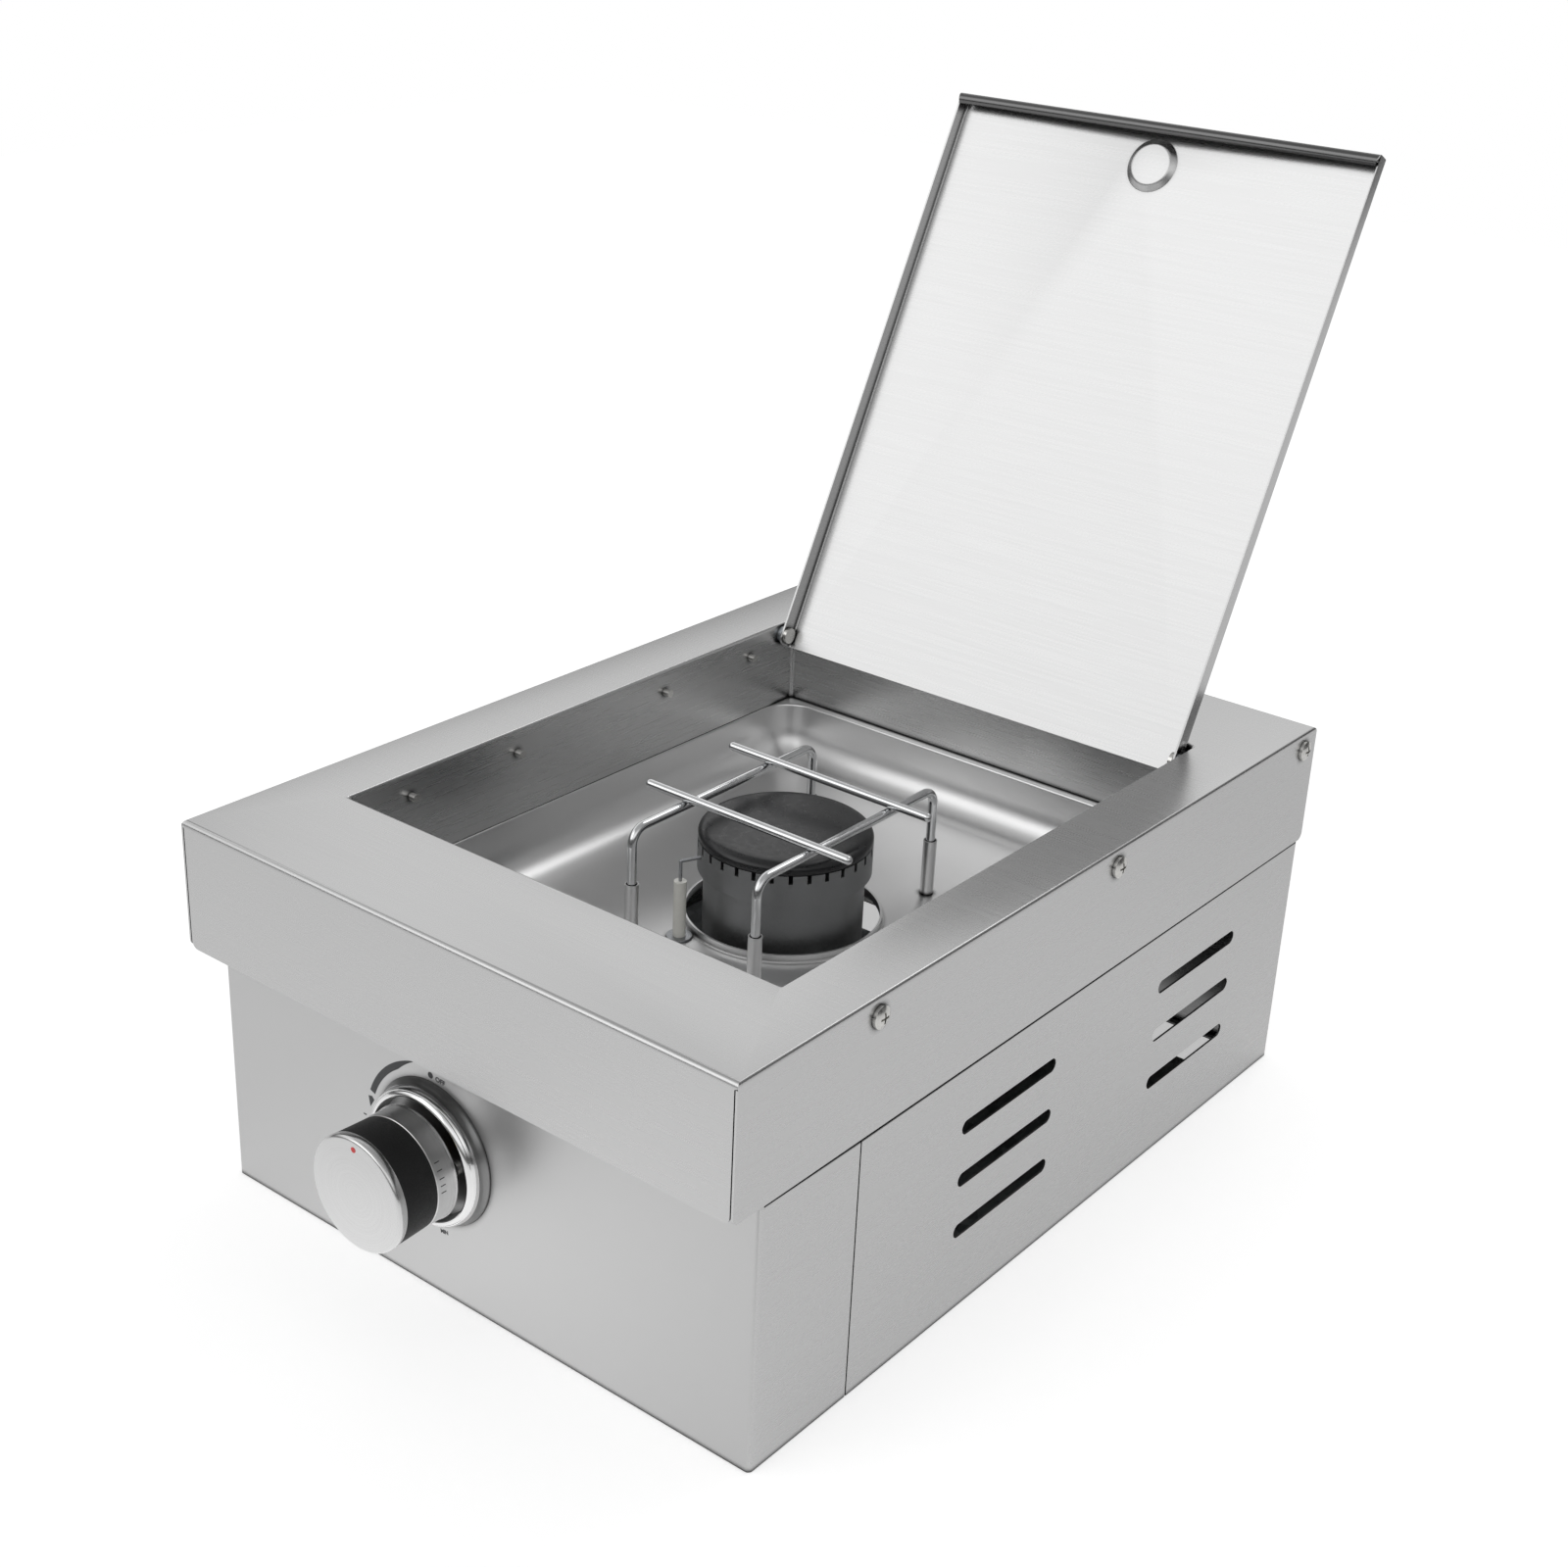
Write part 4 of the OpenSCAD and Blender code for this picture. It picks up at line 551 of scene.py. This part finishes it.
pick(lid, "FACE", lambda middle, face: face.normal.z > 0.99 and near(middle.z, lid_top))
bpy.ops.mesh.delete(type="ONLY_FACE")
pick(lid, "EDGE", lambda middle, edge: not edge.link_faces and not near(middle.y, lid_rear))
bpy.ops.mesh.delete(type="EDGE")
pick(lid, "EDGE", lambda middle, edge: False)
bpy.ops.mesh.primitive_circle_add(vertices=64, radius=dish_r, location=(0, dish_y, lid_top))
pick(lid, "EDGE", lambda middle, edge: near(middle.z, lid_top) and len(edge.link_faces) < 2)
bpy.ops.mesh.fill()
pick(lid, "FACE", lambda middle, face: near(middle.z, lid_top) and face.normal.z < 0)
bpy.ops.mesh.flip_normals()
pick(lid, "FACE", lambda middle, face: near(middle.z, lid_top))
bpy.ops.mesh.dissolve_limited(angle_limit=0.01)
pick(lid, "EDGE", lambda middle, edge: near(middle.z, lid_top) and len(edge.link_faces) == 1
     and (middle - Vector((0, dish_y, lid_top))).length < dish_r + sheet)
bpy.ops.mesh.extrude_region_move(TRANSFORM_OT_translate={"value": (0, 0, -dish_deep)})
bpy.ops.transform.resize(value=(dish_floor_r / dish_r, dish_floor_r / dish_r, 1))
bpy.ops.mesh.edge_face_add()
pick(lid, "FACE", lambda middle, face: near(middle.z, lid_top - dish_deep) and face.normal.z < 0)
bpy.ops.mesh.flip_normals()
bend(lid, dish_edge_r, lambda middle, edge: edge.calc_face_angle(0) > 0.3
     and (middle - Vector((0, dish_y, middle.z))).length < dish_r + sheet, segments=3)
thicken(lid, sheet)
lid.location = hinge
lid.rotation_euler.x = -lid_open
bpy.ops.object.transform_apply(location=True, rotation=True, scale=True)
lip_grain = brushed("stainless lip brushed lengthwise", "#c6c6c6", 0.24, (0.9, 60, 0.9), turn=-lid_open)
grain_by_face(lid, cross_grain, lip_grain)
# Painted dark reflection: the hem's dark grey colour stands in for the shade it mirrors.
hem_painted_dark = brushed("rolled hem with painted dark reflection", "#6c6c6c", 0.2, (60, 0.9, 0.9))
lid.data.materials.append(hem_painted_dark)
lid_edge = hinge + Quaternion((1, 0, 0), -lid_open) @ Vector((0, lid_front, lid_foot))
pick(lid, "FACE", lambda middle, face: (middle - lid_edge).yz.length < painted_dark_hem_reach
     and abs(face.normal.x) < 0.5)
lid.active_material_index = 2
bpy.ops.object.material_slot_assign()
bpy.ops.object.mode_set(mode="OBJECT")
put(lid, "lid", "stainless_sheet", "lid_panel")


# Drip tray: stainless sheet pressed into a shallow tub with a flat rim. The burner's hole has a
# collar turned up round it, and a small hole beside it takes the electrode.
tray_x = well_x - 0.0005
tray_front = -0.1565
tray_rear = 0.152
tray_floor = 0.112
tray_top = 0.1417
tray_r = 0.017
tray_edge_r = 0.0012
rim_x, rim_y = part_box("drip_tray")[1].xy
burner_hole_r = 0.047
collar_h = 0.004
electrode_hole_r = 0.0032
electrode_place = Vector((-0.0215, -0.0495, tray_floor))
tray = start_box("drip_tray_sheet", (-tray_x, tray_front, tray_floor), (tray_x, tray_rear, tray_top))
pick(tray, "FACE", lambda middle, face: face.normal.z > 0.5)
bpy.ops.mesh.delete(type="ONLY_FACE")
bend(tray, tray_r, lambda middle, edge: middle.z < tray_top - sheet, segments=10)
pick(tray, "FACE", lambda middle, face: True)
bpy.ops.mesh.flip_normals()
bpy.ops.mesh.select_all(action="DESELECT")
bpy.ops.mesh.primitive_plane_add(size=2, location=(0, 0, tray_top))
bpy.ops.transform.resize(value=(rim_x, rim_y, 1))
bpy.ops.mesh.delete(type="ONLY_FACE")
pick(tray, "EDGE", lambda middle, edge: near(middle.z, tray_top) and len(edge.link_faces) < 2)
bpy.ops.mesh.fill()
pick(tray, "FACE", lambda middle, face: near(middle.z, tray_floor) and abs(face.normal.z) > 0.99)
bpy.ops.mesh.delete(type="ONLY_FACE")
for hole_r, centre in ((burner_hole_r, Vector((0, 0, tray_floor))), (electrode_hole_r, electrode_place)):
    pick(tray, "EDGE", lambda middle, edge: False)
    bpy.ops.mesh.primitive_circle_add(vertices=96, radius=hole_r, location=centre)
pick(tray, "EDGE", lambda middle, edge: near(middle.z, tray_floor) and len(edge.link_faces) < 2)
bpy.ops.mesh.fill()
pick(tray, "FACE", lambda middle, face: abs(face.normal.z) > 0.99 and face.normal.z < 0)
bpy.ops.mesh.flip_normals()
pick(tray, "EDGE", lambda middle, edge: near(middle.z, tray_floor) and len(edge.link_faces) == 1
     and abs(middle.xy.length - burner_hole_r) < sheet / 4)
bpy.ops.mesh.extrude_region_move(TRANSFORM_OT_translate={"value": (0, 0, collar_h)})
bend(tray, tray_edge_r, lambda middle, edge: near(edge.verts[0].co.z, edge.verts[1].co.z)
     and edge.calc_face_angle(0) > 1
     and (near(middle.z, tray_top) or near(middle.z, tray_floor)), segments=3)
thicken(tray, sheet)
tray_sheet = brushed("pressed stainless tray", "#dedede", 0.36, (40, 1.2, 1.2))
tray.data.materials.append(tray_sheet)
put(tray, "stove", "tray_steel", "drip_tray")


# Sockets: four stainless tubes, welded to the tray floor. The pan support's legs stand in them.
# The support is drawn steel wire, bent and welded, then chromed to a bright mirror.
dress(["support_sockets"], tray_sheet)
dress(["support_rod_left", "support_rod_right", "support_bar_front", "support_bar_rear"],
      finish("chromed wire", "#d9dadb", 0.12, 1.0, 4.0, 0.004, spread=0.03))


# Burner: a bowl and a head of die-cast aluminium, grainy and dull, under a loose steel cap in black
# vitreous enamel with a faint orange peel.
def turned(name, foot, axis, profile, ring=False, segments=96):
    """Turns a profile about an axis. It lists radii with their distances along the axis."""
    radius, height = profile[0]
    along = Vector(axis)
    bpy.ops.object.select_all(action="DESELECT")
    bpy.ops.mesh.primitive_circle_add(vertices=segments, radius=radius, location=foot + along * height,
                                      rotation=along.to_track_quat("Z", "Y").to_euler(),
                                      fill_type="NOTHING" if ring else "NGON")
    piece = bpy.context.active_object
    piece.name = name
    bpy.ops.object.transform_apply(location=True, rotation=True, scale=True)
    pick(piece, "VERT", lambda middle, vert: True)
    for next_radius, next_height in profile[1:]:
        bpy.ops.mesh.extrude_region_move(
            TRANSFORM_OT_translate={"value": along * (next_height - height)})
        grow = next_radius / radius
        bpy.ops.transform.resize(value=[1 if part else grow for part in axis])
        radius, height = next_radius, next_height
    bpy.ops.mesh.select_all(action="SELECT")
    bpy.ops.mesh.remove_doubles(threshold=0.00001)
    bpy.ops.mesh.normals_make_consistent(inside=False)
    return piece


dress(["burner_body", "burner_head"], finish("die-cast aluminium", "#8f9091", 0.5, 1.0, 0.8, 0.05))
cap_profile = [(0.0285, -0.004), (0.0285, 0.0), (0.0404, 0.0), (0.0408, 0.0003), (0.041, 0.0008),
               (0.041, 0.0028), (0.0407, 0.0036), (0.0401, 0.0044), (0.0392, 0.0051), (0.0381, 0.0056),
               (0.0365, 0.0059), (0.034, 0.006)]
cap_foot_z = 0.153
cap = turned("burner_cap_enamelled", Vector((0, 0, cap_foot_z)), (0, 0, 1), cap_profile)
cap.data.materials.append(finish("black vitreous enamel", "#17181a", 0.32, 0.0, 2.5, 0.02))
put(cap, "burner_cap", "black_enamel", "burner_cap")


# Gas valve, jet, inlet and their nuts: turned and milled brass, left bare. The pipe between them is
# drawn aluminium tube.
dress(["injector", "gas_valve", "valve_bonnet", "valve_plug", "valve_stem", "inlet_fitting", "inlet_nut"],
      finish("machined brass", "#c9a45c", 0.3, 1.0, 1.2, 0.01))
dress(["gas_pipe"], finish("drawn aluminium tube", "#c3c5c7", 0.34, 1.0, 2.0, 0.01))


# Ignition: a white ABS spark unit, a lead in red silicone, a glazed ceramic insulator, and a spark
# wire and clip of bare spring steel, of which the valve's spring is wound too.
dress(["piezo_igniter"], finish("moulded white ABS", "#e2e0d8", 0.42, 0.0, 1.5, 0.01, spread=0.02))
dress(["ignition_lead"], finish("red silicone", "#a8201a", 0.5, 0.0, 1.0, 0.02))
dress(["electrode_insulator"], finish("glazed ceramic", "#ecebe4", 0.15, 0.0, 3.0, 0.01, spread=0.02))
dress(["electrode_wire", "electrode_clip", "stem_spring"],
      finish("drawn spring steel", "#a3a5a8", 0.32, 1.0, 1.0, 0.01))


# Bezel: a ring spun from sheet metal, with a polished crown round a recess and a flared satin side, whose
# dark grey colour is a painted dark reflection.
# A fine groove runs round the crown. The bezel is held by the valve's screws, and the knob turns in
# front of it.
def spun(name, shade, rough, ring_pitch, depth):
    """Metal turned about the knob's axis, with fine rings at a pitch in mm."""
    material, tree, shader = new_material(name)
    shader.inputs["Metallic"].default_value = 1.0
    place = add(tree, "TexCoord")
    from_axis = add(tree, "VectorMath", {0: place.outputs["Object"], 1: knob_axis}, operation="SUBTRACT")
    parts = add(tree, "SeparateXYZ", {"Vector": from_axis.outputs[0]})
    across = add(tree, "CombineXYZ", {"X": parts.outputs["X"], "Z": parts.outputs["Z"]})
    radius = add(tree, "VectorMath", {0: across.outputs[0]}, operation="LENGTH")
    rings_at = add(tree, "CombineXYZ", {"X": radius.outputs["Value"], "Y": parts.outputs["Y"]})
    rings = add(tree, "TexNoise", {"Vector": rings_at.outputs[0], "Scale": 1000 / ring_pitch,
                                   "Detail": 2.0})
    plain = colour(shade)
    deep = [part * 0.93 for part in plain[:3]] + [1.0]
    tone = add(tree, "MapRange", {"Value": rings.outputs[0], "From Min": 0.3, "From Max": 0.7})
    shades = add(tree, "Mix", {"Factor": tone.outputs[0], "A": deep, "B": plain}, data_type="RGBA")
    bump = add(tree, "Bump", {"Height": rings.outputs[0], "Strength": 1.0, "Distance": depth / 1000})
    tree.links.new(shades.outputs["Result"], shader.inputs["Base Color"])
    tree.links.new(bump.outputs[0], shader.inputs["Normal"])
    shader.inputs["Roughness"].default_value = rough
    return material


panel_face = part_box("front_panel")[0].y
knob_axis = Vector((-0.0215, panel_face, 0.071))
outwards = (0, -1, 0)
bezel_profile = [(0.0105, 0.0), (0.034, 0.0), (0.034, 0.0006), (0.0338, 0.0010), (0.0331, 0.0020),
                 (0.0325, 0.0034), (0.0322, 0.0046), (0.0321, 0.0052), (0.0319, 0.0060), (0.0316, 0.0067),
                 (0.0312, 0.0073), (0.0309, 0.0074), (0.0306, 0.0079), (0.0300, 0.0086), (0.0293, 0.0089),
                 (0.0287, 0.0087), (0.0284, 0.0081), (0.0276, 0.0028), (0.0273, 0.0025), (0.0105, 0.0025),
                 (0.0105, 0.0)]
crown_foot = 0.0046
crown_inner_r = 0.0284
fine_round = 144
bezel = turned("bezel_spun", knob_axis, outwards, bezel_profile, ring=True, segments=fine_round)
# Painted dark reflection: the satin side gets a darker grey than the polished crown of the same metal.
bezel.data.materials.append(spun("satin spun metal with painted dark reflection", "#8e8e8e", 0.3, 0.6, 0.003))
bezel.data.materials.append(spun("polished spun metal", "#ececec", 0.12, 0.6, 0.002))
pick(bezel, "FACE", lambda middle, face: knob_axis.y - middle.y > crown_foot
     and (middle - knob_axis).xz.length > crown_inner_r)
bezel.active_material_index = 1
bpy.ops.object.material_slot_assign()
put(bezel, "stove", "bezel_chrome", "knob_bezel")


# Control knob: a satin metal ring at the rear with a bright flared rim, a grip of matt black plastic
# and a metal cap with a rounded shoulder, whose face is turned flat and has a red dot. A nylon hub
# inside carries them on the valve's stem.
knob_metal = spun("turned knob metal", "#d6d6d6", 0.22, 0.35, 0.004)
ring_profile = [(0.0233, 0.0109), (0.0261, 0.0109), (0.0263, 0.0112), (0.0262, 0.0117),
                (0.0258, 0.0124), (0.0258, 0.0211), (0.0257, 0.0214), (0.0254, 0.0216),
                (0.0233, 0.0216), (0.0233, 0.0228), (0.0081, 0.0228), (0.0081, 0.0208),
                (0.0233, 0.0208), (0.0233, 0.0109)]
ring_rim = 0.0124
ring = turned("knob_ring_turned", knob_axis, outwards, ring_profile, ring=True, segments=fine_round)
ring.data.materials.append(spun("satin knob metal", "#dedede", 0.28, 0.35, 0.004))
ring.data.materials.append(knob_metal)
pick(ring, "FACE", lambda middle, face: knob_axis.y - middle.y < ring_rim)
ring.active_material_index = 1
bpy.ops.object.material_slot_assign()
put(ring, "control_knob", "knob_metal", "knob_ring")
grip_profile = [(0.0233, 0.0216), (0.0254, 0.0216), (0.0256, 0.0219), (0.0263, 0.0385), (0.0261, 0.0388),
                (0.0233, 0.0388), (0.0233, 0.0216)]
grip = turned("knob_grip_moulded", knob_axis, outwards, grip_profile, ring=True, segments=fine_round)
grip.data.materials.append(finish("matt black plastic", "#101011", 0.6, 0.0, 0.5, 0.02))
put(grip, "control_knob", "grip_black", "knob_grip")
cap_profile = [(0.0209, 0.0404), (0.0209, 0.0374), (0.0232, 0.0374), (0.0232, 0.0388), (0.026, 0.0388),
               (0.0264, 0.0390), (0.0265, 0.0393), (0.0265, 0.0416), (0.0264, 0.0422), (0.0261, 0.0427),
               (0.0256, 0.0431), (0.0250, 0.0433)]
face = turned("knob_cap_turned", knob_axis, outwards, cap_profile, segments=fine_round)
face.data.materials.append(knob_metal)
put(face, "control_knob", "knob_metal", "knob_cap")
dress(["knob_mark"], finish("red paint", "#c8201c", 0.35, 0.0, 1.0, 0.004, spread=0.03))
dress(["knob_hub"], finish("moulded black nylon", "#262628", 0.5, 0.0, 1.0, 0.01))


# Printed marks round the bezel: dark grey ink. An arc widens towards full gas and ends in an arrow
# over a tick. A dot with the word for closed stands at the top, and the word for the lowest flame at
# the foot. Short strokes are marked on the knob's ring.
ink_t = 0.00004
ink = finish("dark grey printing ink", "#3c3d3f", 0.55, 0.0, 0.6, 0.002)


def on_dial(radius, degrees):
    """Place on the front panel round the knob, as seen from the front."""
    return radius * math.cos(math.radians(degrees)), radius * math.sin(math.radians(degrees))


def print_on_panel(name, flat, turn=0.0, at=(0.0, 0.0)):
    """Makes a flat curve or a word a thin mesh, and lays it on the front panel at the knob."""
    flat.extrude = ink_t / 2
    piece = bpy.data.objects.new(name, flat)
    bpy.context.scene.collection.objects.link(piece)
    bpy.ops.object.select_all(action="DESELECT")
    piece.select_set(True)
    bpy.context.view_layer.objects.active = piece
    bpy.ops.object.convert(target="MESH")
    piece = bpy.context.active_object
    piece.location = knob_axis + Vector((at[0], -ink_t / 2, at[1]))
    piece.rotation_euler = (math.pi / 2, 0, 0)
    piece.rotation_euler.y = -turn
    bpy.ops.object.transform_apply(location=True, rotation=True, scale=True)
    piece.data.materials.clear()
    piece.data.materials.append(ink)
    put(piece, "stove", "black_enamel")


def outline(name, points):
    """Flat closed curve through points."""
    flat = bpy.data.curves.new(name, "CURVE")
    flat.dimensions = "2D"
    flat.fill_mode = "BOTH"
    line = flat.splines.new("POLY")
    line.points.add(len(points) - 1)
    for spot, (x, z) in zip(line.points, points):
        spot.co = (x, z, 0, 1)
    line.use_cyclic_u = True
    return flat


arc_steps = 40
arc_from, arc_to = 104, 160
arc_r = 0.0410
arc_w = 0.0032
arc_inner = [on_dial(arc_r - arc_w * min(1, 3 * i / arc_steps),
                     arc_from + (arc_to - arc_from) * i / arc_steps) for i in range(arc_steps + 1)]
arc_outer = [on_dial(arc_r, arc_to - (arc_to - arc_from) * i / arc_steps) for i in range(arc_steps)]
print_on_panel("printed_arc", outline("arc", arc_inner + arc_outer))
arrow = [on_dial(0.0392, 172), on_dial(0.0375, 165), on_dial(0.0392, 163.5), on_dial(0.0412, 165)]
print_on_panel("printed_arrow", outline("arrow", arrow))
dot_r = 0.0015
dot = [(dot_r * math.cos(a / 4), dot_r * math.sin(a / 4)) for a in range(25)]
print_on_panel("printed_dot", outline("dot", dot), at=on_dial(0.0371, 91))
tick = [(-0.0009, -0.0003), (0.0009, -0.0003), (0.0009, 0.0003), (-0.0009, 0.0003)]
print_on_panel("printed_tick", outline("tick", tick), at=on_dial(0.0425, 180))

# Each word has its radius and angle on the dial, its own turn in degrees and its letters' size.
words = (("OFF", 0.0368, 82, -4, 0.0032), ("MIN", 0.0389, -82, 8, 0.0026))
for word, radius, degrees, turn, size in words:
    lettering = bpy.data.curves.new("word", "FONT")
    lettering.body = word
    lettering.size = size
    lettering.offset = 0.0001
    lettering.align_x = "CENTER"
    lettering.align_y = "CENTER"
    print_on_panel("printed_word_" + word.lower(), lettering, math.radians(turn),
                   on_dial(radius, degrees))

stroke_size = (0.0004, 0.0026, 0.0001)
stroke_places = (32, 24, 16, 9, 2)
stroke_r = 0.02583
stroke_forward = 0.0185
for degrees in stroke_places:
    x, z = on_dial(stroke_r, degrees)
    stroke = start_box("ring_stroke", [-part / 2 for part in stroke_size],
                       [part / 2 for part in stroke_size])
    stroke.rotation_euler.y = math.pi / 2 - math.radians(degrees)
    stroke.location = (knob_axis.x + x, knob_axis.y - stroke_forward, knob_axis.z + z)
    bpy.ops.object.transform_apply(location=True, rotation=True, scale=True)
    stroke.data.materials.append(ink)
    put(stroke, "control_knob", "black_enamel")
